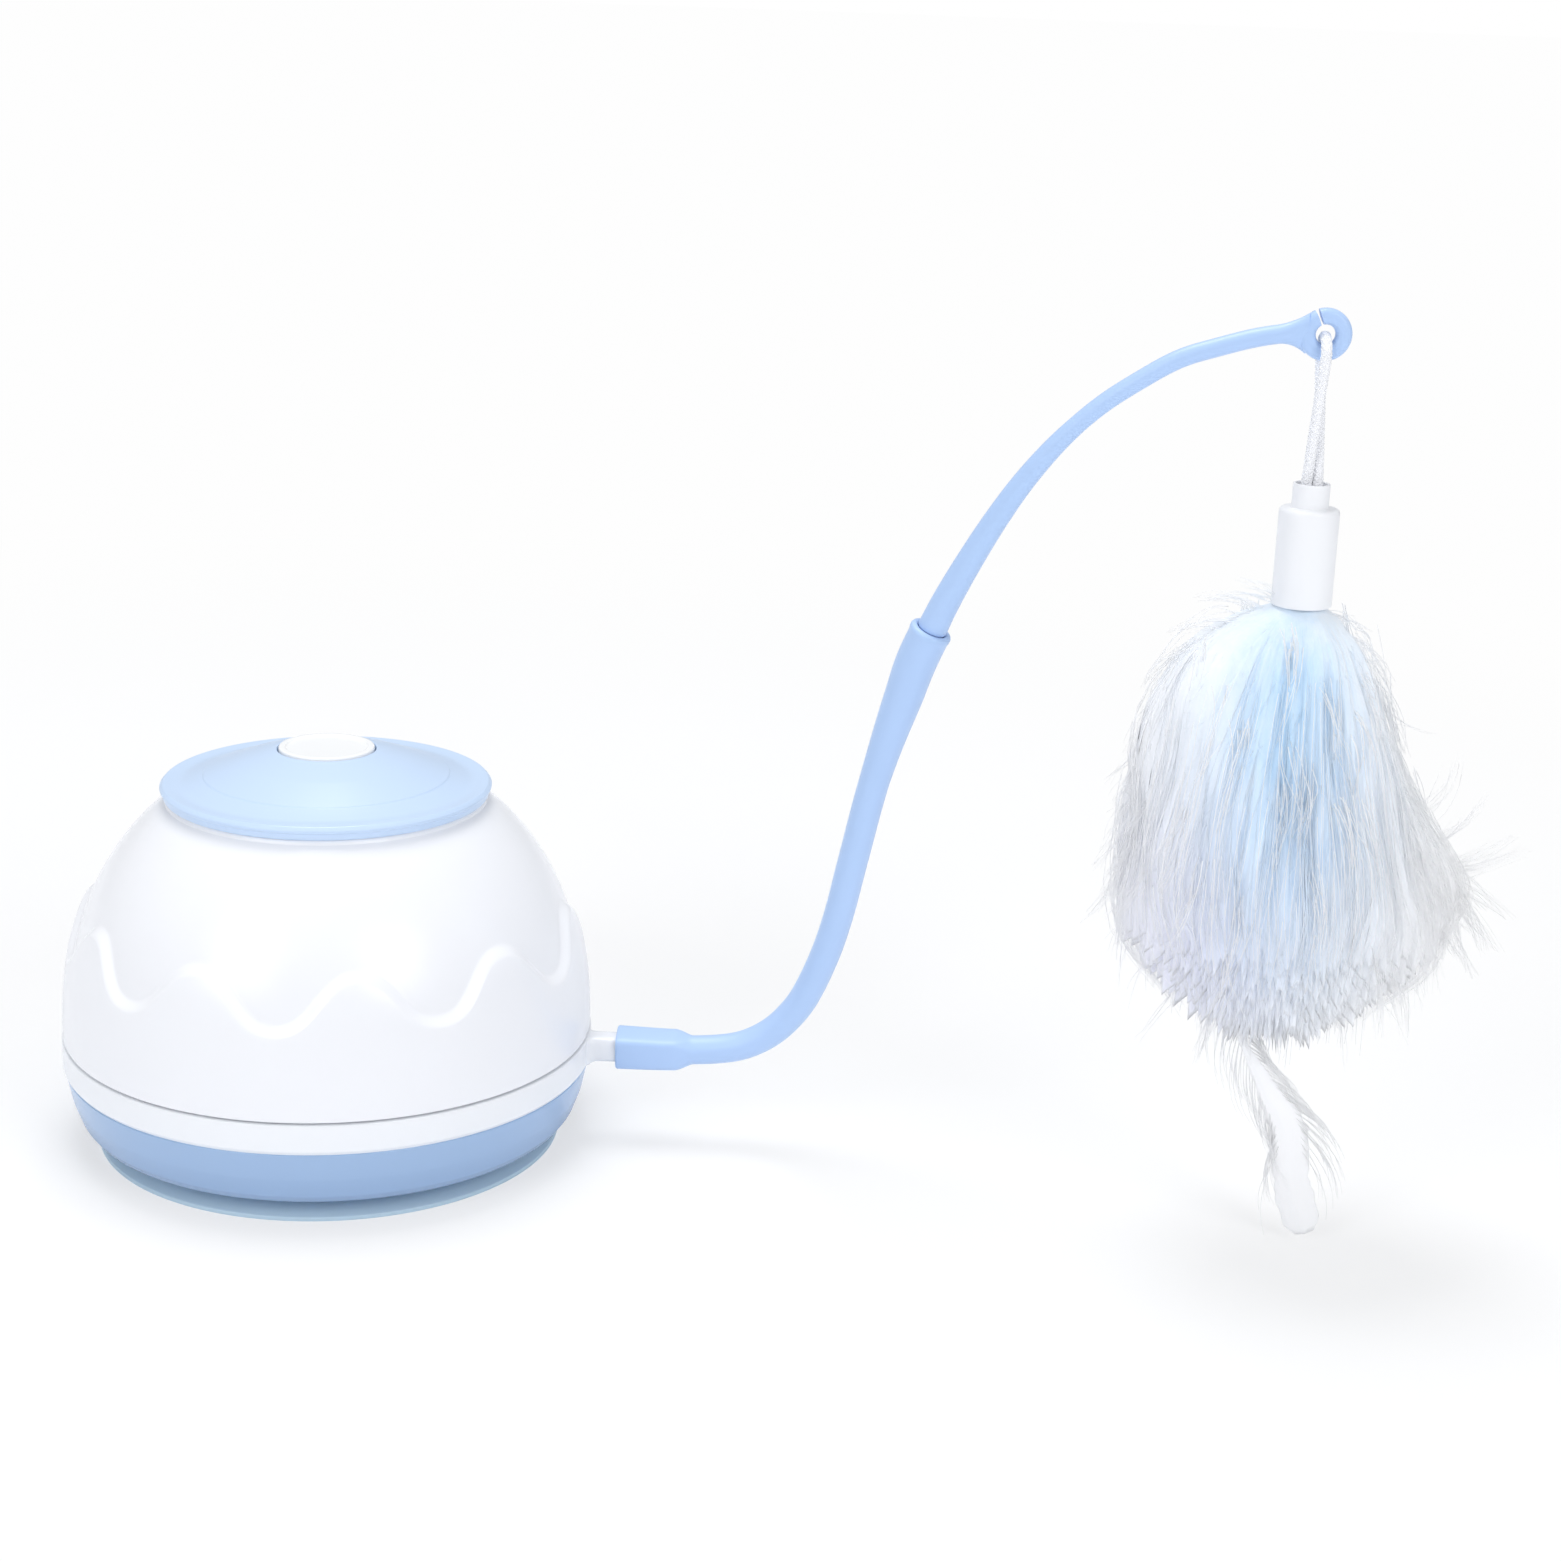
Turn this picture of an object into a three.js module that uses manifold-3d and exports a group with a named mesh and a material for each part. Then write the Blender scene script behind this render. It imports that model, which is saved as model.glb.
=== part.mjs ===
// Electric cat teaser: a domed body on a suction cup, with a geared ring turning between dome and
// bowl, a flexible two-piece wand plugged on the ring's stub, and a feather lure on a cord loop.
// Millimetres, +Z up. The origin is on the floor, under the axis that the ring turns about.
// The stub and the wand point along +X at rest; the charging socket faces +Y, the back.

import * as THREE from 'three';
import { mergeVertices } from 'three/addons/utils/BufferGeometryUtils.js';
import Module from 'manifold-3d';

const wasm = await Module();
wasm.setup();

// Driving dimensions

const cupRadius = 45.9;
const bowlFootRadius = 48.6;
const bowlFootHeight = 5.05;
const bowlRimRadius = 52.0;
const bowlRimHeight = 16.2;
const ringRadius = 52.4;
const ringHeight = 5.7;
const domeHeight = 48.6;
const domeWall = 2.2;
const discRadius = 32.2;
const buttonRadius = 9.3;
const hookReach = 181.0;
const hookHeight = 171.0;
const tailTipHeight = 1.8;

// Clearances

const runningGap = 0.3;
const seatGap = 0.3;
const snugGap = 0.2;
const buttonTravel = 1.0;
const cutOverrun = 1.0;

// Levels that the stack of housings gives

const ringBottom = bowlRimHeight + runningGap;
const ringTop = ringBottom + ringHeight;
const domeBottom = ringTop + runningGap;
const deckTop = domeBottom + domeHeight;

// Facets

const roundSegments = 36;
const wideSegments = 30;
const bodySegments = 24;
const capSegments = 20;
const smallSegments = 12;
const pinSegments = 8;
const cornerSegments = 3;
const fineToothLimit = 20;
const weldDistance = 0.0001;

const fullTurn = 2 * Math.PI;
const degree = Math.PI / 180;

// Shape tools

// A closed mesh becomes a solid: shared corners are merged, slivers go, faces point out.
function solid(geometry) {
  const bare = new THREE.BufferGeometry();
  bare.setAttribute('position', geometry.getAttribute('position'));
  if (geometry.index) bare.setIndex(geometry.index);
  const merged = mergeVertices(bare, weldDistance);
  const positions = merged.getAttribute('position').array;
  const corners = merged.index.array;
  const triangles = [];
  let volume = 0;
  for (let i = 0; i < corners.length; i += 3) {
    const [a, b, c] = [corners[i], corners[i + 1], corners[i + 2]];
    if (a === b || b === c || c === a) continue;
    triangles.push(a, b, c);
    const [p, q, r] = [a, b, c].map((k) => new THREE.Vector3().fromArray(positions, 3 * k));
    volume += p.dot(q.cross(r));
  }
  if (volume < 0) triangles.reverse();
  return new wasm.Manifold(new wasm.Mesh({
    numProp: 3,
    vertProperties: new Float32Array(positions),
    triVerts: new Uint32Array(triangles),
  }));
}

function join(...pieces) {
  return pieces.reduce((whole, piece) => whole.add(piece));
}

function cut(body, ...tools) {
  return tools.reduce((whole, tool) => whole.subtract(tool), body);
}

// A profile of [radius, height] points turned about the Z axis.
function revolve(profile, segments = roundSegments) {
  const points = profile.map(([radius, height]) => new THREE.Vector2(radius, height));
  if (profile[0][0] > 0) points.push(points[0].clone());
  return solid(new THREE.LatheGeometry(points, segments).rotateX(Math.PI / 2));
}

function rod(radius, bottom, top, x = 0, y = 0, segments = smallSegments) {
  const shape = new THREE.CylinderGeometry(radius, radius, top - bottom, segments);
  return solid(shape.rotateX(Math.PI / 2).translate(x, y, (bottom + top) / 2));
}

function block(width, depth, bottom, top, x = 0, y = 0) {
  return solid(new THREE.BoxGeometry(width, depth, top - bottom).translate(x, y, (bottom + top) / 2));
}

function plate(shape, bottom, top, segments = smallSegments) {
  const settings = { depth: top - bottom, bevelEnabled: false, curveSegments: segments };
  return solid(new THREE.ExtrudeGeometry(shape, settings).translate(0, 0, bottom));
}

function discShape(radius, x = 0, y = 0) {
  return new THREE.Shape().absarc(x, y, radius, 0, fullTurn, false);
}

// A straight bar with round ends between two points of a plan.
function strap(from, to, radius, bottom, top) {
  const along = Math.atan2(to.y - from.y, to.x - from.x);
  const shape = new THREE.Shape();
  shape.absarc(from.x, from.y, radius, along + Math.PI / 2, along - Math.PI / 2, false);
  shape.absarc(to.x, to.y, radius, along - Math.PI / 2, along + Math.PI / 2, false);
  return plate(shape, bottom, top, pinSegments / 2);
}

function roundedShape(width, depth, corner) {
  const [x, y] = [width / 2 - corner, depth / 2 - corner];
  const shape = new THREE.Shape();
  shape.absarc(x, y, corner, 0, Math.PI / 2, false);
  shape.absarc(-x, y, corner, Math.PI / 2, Math.PI, false);
  shape.absarc(-x, -y, corner, Math.PI, 1.5 * Math.PI, false);
  shape.absarc(x, -y, corner, 1.5 * Math.PI, fullTurn, false);
  return shape;
}

function planPoint(radius, angle) {
  return new THREE.Vector2(radius * Math.cos(angle), radius * Math.sin(angle));
}

// A closed skin over rings of points, each ring with as many points, capped at both ends.
function loft(rings) {
  const sides = rings[0].length;
  const positions = rings.flat().flatMap((point) => point.toArray());
  const index = [];
  for (let k = 0; k + 1 < rings.length; k += 1) {
    for (let i = 0; i < sides; i += 1) {
      const [a, b] = [k * sides + i, k * sides + ((i + 1) % sides)];
      index.push(a, b, b + sides, a, b + sides, a + sides);
    }
  }
  [0, rings.length - 1].forEach((k, end) => {
    const middle = rings[k].reduce((sum, point) => sum.add(point), new THREE.Vector3());
    middle.divideScalar(sides);
    const centre = positions.length / 3;
    positions.push(...middle.toArray());
    for (let i = 0; i < sides; i += 1) {
      const [a, b] = [k * sides + i, k * sides + ((i + 1) % sides)];
      if (end === 0) index.push(centre, b, a);
      else index.push(centre, a, b);
    }
  });
  const skin = new THREE.BufferGeometry();
  skin.setAttribute('position', new THREE.Float32BufferAttribute(positions, 3));
  skin.setIndex(index);
  return solid(skin);
}

// One ring of a loft: a rounded rectangle or ellipse with half sizes a and b along two axes.
// A squareness of 2 is an ellipse, and higher values go towards a rectangle.
function sectionRing(centre, axisA, axisB, a, b, squareness, sides) {
  const ring = [];
  for (let i = 0; i < sides; i += 1) {
    const angle = ((i + 0.5) / sides) * fullTurn;
    const [c, s] = [Math.cos(angle), Math.sin(angle)];
    const u = a * Math.sign(c) * Math.abs(c) ** (2 / squareness);
    const v = b * Math.sign(s) * Math.abs(s) ** (2 / squareness);
    ring.push(centre.clone().addScaledVector(axisA, u).addScaledVector(axisB, v));
  }
  return ring;
}

// A pan-head screw: the head's seating face at height zero, the head below it, the shank above.
function screwUp(headRadius, headHeight, shankRadius, shankLength) {
  const bevel = headHeight / 4;
  return revolve([
    [0, -headHeight],
    [headRadius - bevel, -headHeight],
    [headRadius, 0],
    [shankRadius, 0],
    [shankRadius, shankLength - shankRadius],
    [0, shankLength],
  ], pinSegments);
}

// A round bar along a smooth path through points.
function tubeAlong(points, radius, sides, steps) {
  const section = new THREE.Shape();
  for (let i = 0; i < sides; i += 1) {
    const p = planPoint(radius, (i / sides) * fullTurn);
    if (i === 0) section.moveTo(p.x, p.y);
    else section.lineTo(p.x, p.y);
  }
  const extrudePath = new THREE.CatmullRomCurve3(points);
  return solid(new THREE.ExtrudeGeometry(section, { steps, bevelEnabled: false, extrudePath }));
}

// Involute gear outline. A positive slack thins external teeth; an internal gear passes a
// negative slack, which widens the tooth-shaped spaces that this outline then cuts.
function gearShape(teeth, moduleSize, slack, tipRadius, rootRadius) {
  const pitchRadius = (teeth * moduleSize) / 2;
  const baseRadius = pitchRadius * Math.cos(20 * degree);
  const involute = (radius) => {
    const pressure = Math.acos(Math.min(1, baseRadius / radius));
    return Math.tan(pressure) - pressure;
  };
  const halfTooth = (radius) => Math.PI / (2 * teeth) - slack / (2 * pitchRadius)
    + involute(pitchRadius) - involute(radius);
  const coarse = teeth < fineToothLimit && moduleSize > 1;
  const radii = coarse ? [rootRadius, pitchRadius, tipRadius] : [rootRadius, tipRadius];
  const shape = new THREE.Shape();
  for (let tooth = 0; tooth < teeth; tooth += 1) {
    const middle = (tooth / teeth) * fullTurn;
    const rise = radii.map((radius) => planPoint(radius, middle - halfTooth(radius)));
    const fall = radii.map((radius) => planPoint(radius, middle + halfTooth(radius))).reverse();
    [...rise, ...fall].forEach((point, i) => {
      if (tooth === 0 && i === 0) shape.moveTo(point.x, point.y);
      else shape.lineTo(point.x, point.y);
    });
  }
  return shape;
}

// Scene

const toy = new THREE.Group();

function add(name, body, colour, roughness, metalness = 0) {
  const mesh = body.asOriginal().simplify(weldDistance).getMesh();
  const geometry = new THREE.BufferGeometry();
  geometry.setAttribute('position', new THREE.Float32BufferAttribute(mesh.vertProperties, 3));
  geometry.setIndex(new THREE.BufferAttribute(new Uint32Array(mesh.triVerts), 1));
  geometry.computeVertexNormals();
  const material = new THREE.MeshStandardMaterial({ color: colour, roughness, metalness });
  const node = new THREE.Mesh(geometry, material);
  node.name = name;
  toy.add(node);
  return body;
}

const white = 0xf7f9fd;
const blue = 0xc4dcf9;
const bowlBlue = 0xa6c0e2;
const cupBlue = 0x9dbdd6;
const steel = 0xb9bcc2;
const acetal = 0xece8dc;
const boardGreen = 0x2f6b45;

// Base bowl: foot ring, recessed floor, outer wall, and the inner track that the ring runs on

const floorThickness = 2.0;
const floorRecess = 1.6;
const bowlWall = 2.1;
const footCorner = 1.6;
const footWidth = 2.2;
const trackOuterRadius = 48.3;
const trackWall = 2.0;
const trackHeight = 2.7;
const stemBoreRadius = 6.8;

const floorBottom = bowlFootHeight + floorRecess;
const floorTop = floorBottom + floorThickness;
const trackTop = bowlRimHeight + trackHeight;
const trackInnerRadius = trackOuterRadius - trackWall;
const rimGrooveFloor = (floorTop + bowlRimHeight) / 2;

const legCircleRadius = 34.0;
const legAngles = [30, 150, 270].map((angle) => angle * degree);
const legPoints = legAngles.map((angle) => planPoint(legCircleRadius, angle));

const screwHeadRadius = 2.8;
const screwHeadHeight = 1.9;
const screwShankRadius = 1.4;
const screwHoleRadius = screwShankRadius + seatGap;
const screwPocketRadius = screwHeadRadius + 2 * seatGap;
const screwBore = (p, bottom, top) => rod(screwHoleRadius, bottom, top, p.x, p.y, pinSegments);

const baseBossRadius = 4.6;
const baseBossHeight = 3.0;
const baseBossTop = floorTop + baseBossHeight;
const basePocketTop = floorBottom + screwHeadHeight + 2 * seatGap;

const boardWidth = 24.0;
const boardDepth = 21.0;
const boardThickness = 1.2;
const boardEdgeInset = 2.2;
const boardBack = trackInnerRadius - boardEdgeInset;
const boardPostHeight = 0.8;
const boardPostRadius = 2.2;
const boardHoleInset = 2.6;
const boardBottom = floorTop + boardPostHeight + seatGap;
const boardTop = boardBottom + boardThickness;
const boardFront = boardBack - boardDepth;
const boardHoleX = boardWidth / 2 - boardHoleInset;
const boardHoleY = boardFront + boardHoleInset;
const boardPoints = [-boardHoleX, boardHoleX].map((x) => new THREE.Vector2(x, boardHoleY));
const boardScrewSeat = boardTop + seatGap;
const boardScrewLength = 3.2;
const plugFromHole = 6.0;
const plugMiddleY = boardHoleY + plugFromHole;

const socketWidth = 8.9;
const socketThickness = 3.2;
const socketOpeningMargin = 0.4;
const socketMiddle = boardTop + seatGap + socketThickness / 2;

const packLength = 44.0;
const packDepth = 28.0;
const packThickness = 7.2;
const packRise = 4.15;
const packBottom = floorTop + packRise;
const packMiddleY = -4.0;
const packCorner = 2.0;
const cradleThickness = 2.0;
const cradleStopHeight = 3.0;
const cradleInset = 3.0;
const cradleX = packLength / 2 - cradleInset;

function baseBowl() {
  const shell = revolve([
    [stemBoreRadius, floorBottom],
    [bowlFootRadius - footWidth - footCorner, floorBottom],
    [bowlFootRadius - footWidth - footCorner / 2, bowlFootHeight],
    [bowlFootRadius - footCorner / 2, bowlFootHeight],
    [bowlFootRadius, bowlFootHeight + footCorner / 3],
    [bowlFootRadius + footCorner / 2, bowlFootHeight + footCorner],
    [(bowlFootRadius + 2 * bowlRimRadius) / 3, (bowlFootHeight + bowlRimHeight) / 2],
    [bowlRimRadius, bowlRimHeight],
    [bowlRimRadius - bowlWall, bowlRimHeight],
    [bowlRimRadius - bowlWall, rimGrooveFloor],
    [trackOuterRadius, rimGrooveFloor],
    [trackOuterRadius, trackTop],
    [trackInnerRadius, trackTop],
    [trackInnerRadius, floorTop],
    [stemBoreRadius, floorTop],
  ]);
  const bosses = legPoints.map((p) => rod(baseBossRadius, floorTop - cutOverrun, baseBossTop, p.x, p.y));
  const pockets = legPoints.flatMap((p) => [
    rod(screwPocketRadius, floorBottom - cutOverrun, basePocketTop, p.x, p.y),
    screwBore(p, floorBottom, baseBossTop + cutOverrun),
  ]);
  const posts = boardPoints.map(
    (p) => rod(boardPostRadius, floorTop - cutOverrun, floorTop + boardPostHeight, p.x, p.y, pinSegments),
  );
  const pilotBottom = boardScrewSeat - boardScrewLength - seatGap;
  const pilots = boardPoints.map((p) => screwBore(p, pilotBottom, boardBottom));
  const ribTop = packBottom - seatGap;
  const ribs = [-cradleX, cradleX].map(
    (x) => block(cradleThickness, packDepth * 0.8, floorTop - cutOverrun, ribTop, x, packMiddleY),
  );
  const stopX = packLength / 2 + seatGap + cradleThickness / 2;
  const stopTop = ribTop + cradleStopHeight;
  const stops = [-stopX, stopX].map(
    (x) => block(cradleThickness, packDepth / 2, floorTop - cutOverrun, stopTop, x, packMiddleY),
  );
  const opening = plate(
    roundedShape(
      socketWidth + 2 * socketOpeningMargin,
      socketThickness + 2 * socketOpeningMargin,
      socketThickness / 2,
    ),
    0,
    bowlRimRadius,
    cornerSegments,
  ).rotate([-90, 0, 0]).translate([0, 0, socketMiddle]);
  const clearBelow = rod(trackInnerRadius - cutOverrun, 0, bowlRimHeight, 0, 0, roundSegments);
  return cut(
    join(shell, ...bosses, ...posts, ...ribs, ...stops), ...pockets, ...pilots, cut(opening, clearBelow),
  );
}

add('base_bowl', baseBowl(), bowlBlue, 0.35);

// Suction cup: a thin bell with a flat sealing lip, held by a stem with a bead through the floor

const lipThickness = 0.7;
const lipWidth = 3.0;
const bellWall = 2.2;
const bellDepth = 3.4;
const stemNeckRadius = stemBoreRadius - runningGap;
const stemBeadRadius = 8.2;
const stemBeadHeight = 2.2;
const stemHollowRadius = 3.0;

function suctionCup() {
  const padTop = floorBottom - seatGap;
  const beadBottom = floorTop + seatGap;
  const shoulder = bellDepth + bellWall;
  return revolve([
    [0, beadBottom],
    [stemHollowRadius, beadBottom],
    [stemHollowRadius, beadBottom + stemBeadHeight],
    [stemNeckRadius, beadBottom + stemBeadHeight],
    [stemBeadRadius, beadBottom + stemBeadHeight / 2],
    [stemBeadRadius, beadBottom],
    [stemNeckRadius, beadBottom],
    [stemNeckRadius, padTop],
    [2 * stemNeckRadius, padTop],
    [cupRadius * 0.66, shoulder * 0.85],
    [cupRadius * 0.9, shoulder * 0.42],
    [cupRadius, lipThickness],
    [cupRadius, 0],
    [cupRadius - lipWidth, 0],
    [cupRadius * 0.8, bellDepth * 0.35],
    [cupRadius / 2, bellDepth * 0.8],
    [0, bellDepth],
  ], wideSegments);
}

add('suction_cup', suctionCup(), cupBlue, 0.5);

// Main board, charging socket and battery pack in the bowl

const chipSize = 5.0;
const chipHeight = 1.0;
const plugHousing = new THREE.Vector3(7.5, 5.2, 4.0);
const canRadius = 2.4;
const canHeight = 4.2;

function mainBoard() {
  const board = block(boardWidth, boardDepth, boardBottom, boardTop, 0, (boardFront + boardBack) / 2);
  const sink = boardTop - boardThickness / 4;
  const chip = (x, y, size) => block(size, size, sink, boardTop + chipHeight, x, y);
  const chipY = plugMiddleY + plugHousing.y / 2 + chipSize;
  const canX = boardWidth / 2 - canRadius - boardThickness;
  return cut(
    join(
      board,
      chip(-chipSize, chipY, chipSize),
      chip(chipSize, chipY, chipSize * 0.7),
      block(plugHousing.x, plugHousing.y, sink, boardTop + plugHousing.z, 0, plugMiddleY),
      rod(canRadius, sink, boardTop + canHeight, canX, boardBack - chipSize),
    ),
    ...boardPoints.map((p) => screwBore(p, boardBottom - cutOverrun, boardTop + cutOverrun)),
  );
}

add('main_board', mainBoard(), boardGreen, 0.5);

const socketWall = 0.35;
const socketDepth = 7.3;
const socketMouthInset = 1.4;
const socketMouth = bowlRimRadius - socketMouthInset;

function socketShell() {
  const outer = roundedShape(socketWidth, socketThickness, socketThickness * 0.45);
  const inner = roundedShape(
    socketWidth - 2 * socketWall,
    socketThickness - 2 * socketWall,
    (socketThickness - 2 * socketWall) * 0.45,
  );
  const body = plate(outer, 0, socketDepth, cornerSegments);
  const hollow = plate(inner, socketDepth / 4, socketDepth + cutOverrun, cornerSegments);
  const tongueTop = socketDepth - cutOverrun;
  const tongue = block(socketWidth * 0.72, socketThickness * 0.22, socketDepth / 5, tongueTop);
  return join(cut(body, hollow), tongue)
    .rotate([-90, 0, 0])
    .translate([0, socketMouth - socketDepth, socketMiddle]);
}

add('usb_socket', socketShell(), steel, 0.3, 0.9);

function batteryPack() {
  const outline = roundedShape(packLength, packDepth, packCorner);
  const pack = plate(outline, packBottom, packBottom + packThickness, cornerSegments);
  return pack.translate([0, packMiddleY, 0]);
}

add('battery_pack', batteryPack(), 0x8fa3b8, 0.45);

// Gear train: the ring's internal teeth, the output pinion and gear, an idler and the motor pinion

const ringModule = 2.0;
const ringTeeth = 42;
const pinionTeeth = 12;
const outputModule = 0.9;
const outputTeeth = 30;
const idlerSmallTeeth = 10;
const idlerModule = 0.6;
const idlerLargeTeeth = 36;
const motorTeeth = 10;
const toothSlackShare = 0.14;
const tipShare = 0.85;
const rootShare = 1.2;

const pitch = (teeth, moduleSize) => (teeth * moduleSize) / 2;
const outputDistance = pitch(ringTeeth, ringModule) - pitch(pinionTeeth, ringModule);
const idlerDistance = pitch(outputTeeth, outputModule) + pitch(idlerSmallTeeth, outputModule);
const motorDistance = pitch(idlerLargeTeeth, idlerModule) + pitch(motorTeeth, idlerModule);
const outputAngle = 90 * degree;
const idlerAngle = -65 * degree;
const motorAngle = -115 * degree;

const outputAxis = planPoint(outputDistance, outputAngle);
const idlerAxis = outputAxis.clone().add(planPoint(idlerDistance, idlerAngle));
const motorAxis = idlerAxis.clone().add(planPoint(motorDistance, motorAngle));

// Turning ring: outer skirt, web on the bowl's track, internal gear rim and the wand's stub

const skirtWall = 2.0;
const skirtChamfer = 0.5;
const webThickness = 2.0;
const ringAddendum = ringModule * tipShare;
const ringRoot = pitch(ringTeeth, ringModule) + ringModule;
const gearRimOuter = trackInnerRadius - 2 * runningGap;
const webBottom = trackTop + runningGap;
const webTop = webBottom + webThickness;
const gearRimBottom = ringBottom + runningGap;

const stubSize = 5.3;
const stubLift = 0.45;
const stubSquareness = 4;
const stubLength = 16.2;
const stubFlare = 1.9;
const stubFlareReach = 2.4;
const stubEnd = ringRadius + stubLength;
const stubHeight = (ringBottom + ringTop) / 2 + stubLift;
const alongX = new THREE.Vector3(1, 0, 0);
const alongY = new THREE.Vector3(0, 1, 0);
const alongZ = new THREE.Vector3(0, 0, 1);

function wandRing() {
  const skirt = revolve([
    [ringRadius - skirtWall, ringBottom],
    [ringRadius - 2 * skirtChamfer, ringBottom],
    [ringRadius, ringBottom + 2 * skirtChamfer],
    [ringRadius, ringTop - skirtChamfer / 2],
    [ringRadius - skirtChamfer / 2, ringTop],
    [ringRadius - skirtWall, ringTop],
    [ringRadius - skirtWall, webTop],
    [(ringRoot + gearRimOuter) / 2, webTop],
    [(ringRoot + gearRimOuter) / 2, webBottom],
    [ringRadius - skirtWall, webBottom],
  ]);
  const spaces = gearShape(
    ringTeeth,
    ringModule,
    -ringModule * toothSlackShare,
    ringRoot,
    pitch(ringTeeth, ringModule) - ringAddendum,
  );
  const rim = cut(
    rod(gearRimOuter, gearRimBottom, webTop, 0, 0, roundSegments),
    plate(spaces, gearRimBottom - cutOverrun, webTop + cutOverrun),
  );
  const station = (x, size) => sectionRing(
    new THREE.Vector3(x, 0, stubHeight), alongY, alongZ, size / 2, size / 2, stubSquareness, smallSegments,
  );
  const stub = loft([
    station(ringRadius - skirtWall / 2, stubSize + 2 * stubFlare),
    station(ringRadius + stubFlareReach / 3, stubSize + stubFlare),
    station(ringRadius + stubFlareReach, stubSize),
    station(stubEnd - stubSize / 6, stubSize),
    station(stubEnd, stubSize * 0.8),
  ]);
  const clearRadius = ringRadius + 2 * runningGap;
  const aboveRing = rod(clearRadius, ringTop, ringTop + stubSize, 0, 0, roundSegments);
  const belowRing = rod(clearRadius, ringBottom - stubSize, ringBottom, 0, 0, roundSegments);
  return join(skirt, rim, cut(stub, aboveRing, belowRing));
}

add('wand_ring', wandRing(), white, 0.25);

// Chassis plate: stands on three legs screwed from below, carries the gears and the dome's ears

const chassisThickness = 2.0;
const chassisRadius = 38.0;
const legRadius = 4.2;
const earCircleRadius = 44.1;
const earRadius = 3.1;
const shaftRadius = 1.5;
const idlerPinRadius = 1.0;
const windowRadius = 5.0;
const notchRadius = 3.4;
const pillarRadius = 3.0;

const chassisBottom = webTop + runningGap + screwHeadHeight + 2 * seatGap + snugGap;
const chassisTop = chassisBottom + chassisThickness;
const outputGearBottom = chassisTop + runningGap;
const outputGearHeight = 4.0;
const idlerLargeHeight = 2.4;
const idlerSmallHeight = outputGearHeight + 2 * runningGap;
const coverThickness = 2.0;
const coverBottom = outputGearBottom + idlerSmallHeight + idlerLargeHeight + 2 * runningGap;
const coverTop = coverBottom + coverThickness;

const baseScrewSeat = floorBottom + seatGap + screwHeadHeight;
const baseScrewLength = 10.0;
const domeScrewLength = 9.0;
const coverScrewLength = 7.0;
const earPoints = legAngles.map((angle) => planPoint(earCircleRadius, angle));
const pillarPoints = [
  new THREE.Vector2(-outputDistance * 0.55, outputDistance * 0.46),
  new THREE.Vector2(outputDistance * 0.8, outputDistance * 0.5),
  new THREE.Vector2(outputDistance * 0.1, -outputDistance * 0.44),
];
const noCentre = new THREE.Vector2(0, 0);
const notchAngle = 132 * degree;

function chassisPlate() {
  const deck = rod(chassisRadius, chassisBottom, chassisTop, 0, 0, wideSegments);
  const arms = earPoints.map((p) => strap(noCentre, p, earRadius, chassisBottom, chassisTop));
  const legs = legPoints.map((p) => rod(legRadius, baseBossTop + seatGap, chassisTop, p.x, p.y));
  const pillarTop = coverBottom - seatGap;
  const pillars = pillarPoints.map((p) => rod(pillarRadius, chassisBottom, pillarTop, p.x, p.y));
  const below = chassisBottom - cutOverrun;
  const above = chassisTop + cutOverrun;
  const windows = [210, 330].map((angle) => strap(
    planPoint(chassisRadius * 0.45, angle * degree),
    planPoint(chassisRadius * 0.78, angle * degree),
    windowRadius,
    below,
    above,
  ));
  const notch = strap(
    planPoint(chassisRadius * 0.85, notchAngle),
    planPoint(chassisRadius * 1.2, notchAngle),
    notchRadius,
    below,
    above,
  );
  const legBoreTop = baseScrewSeat + baseScrewLength + seatGap;
  const legBores = legPoints.map((p) => screwBore(p, baseBossTop, legBoreTop));
  const earHoles = earPoints.map((p) => screwBore(p, below, above));
  const pillarBoreBottom = coverTop - coverScrewLength - seatGap;
  const pillarBores = pillarPoints.map((p) => screwBore(p, pillarBoreBottom, coverTop));
  const shaftHole = rod(shaftRadius + runningGap, below, above, outputAxis.x, outputAxis.y);
  const pinHoleRadius = idlerPinRadius + snugGap;
  const pinHole = rod(pinHoleRadius, chassisBottom + snugGap, above, idlerAxis.x, idlerAxis.y, pinSegments);
  return cut(
    join(deck, ...arms, ...legs, ...pillars),
    ...windows, notch, ...legBores, ...earHoles, ...pillarBores, shaftHole, pinHole,
  );
}

add('chassis_plate', chassisPlate(), acetal, 0.5);

// Gear cover: ties the three pillars, the two bearings and the motor's collar together

const canRadiusMotor = 7.75;
const canFlat = 6.1;
const canLength = 16.0;
const collarWall = 1.6;
const collarHeight = 5.0;
const motorShaftRadius = 0.75;
const canBottom = coverTop + seatGap;
const canTop = canBottom + canLength;
const motorShape = (grow, bottom, top) => rod(canRadiusMotor + grow, bottom, top, 0, 0, bodySegments)
  .intersect(block(2 * (canRadiusMotor + grow + cutOverrun), 2 * (canFlat + grow), bottom, top))
  .translate([motorAxis.x, motorAxis.y, 0]);

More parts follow.
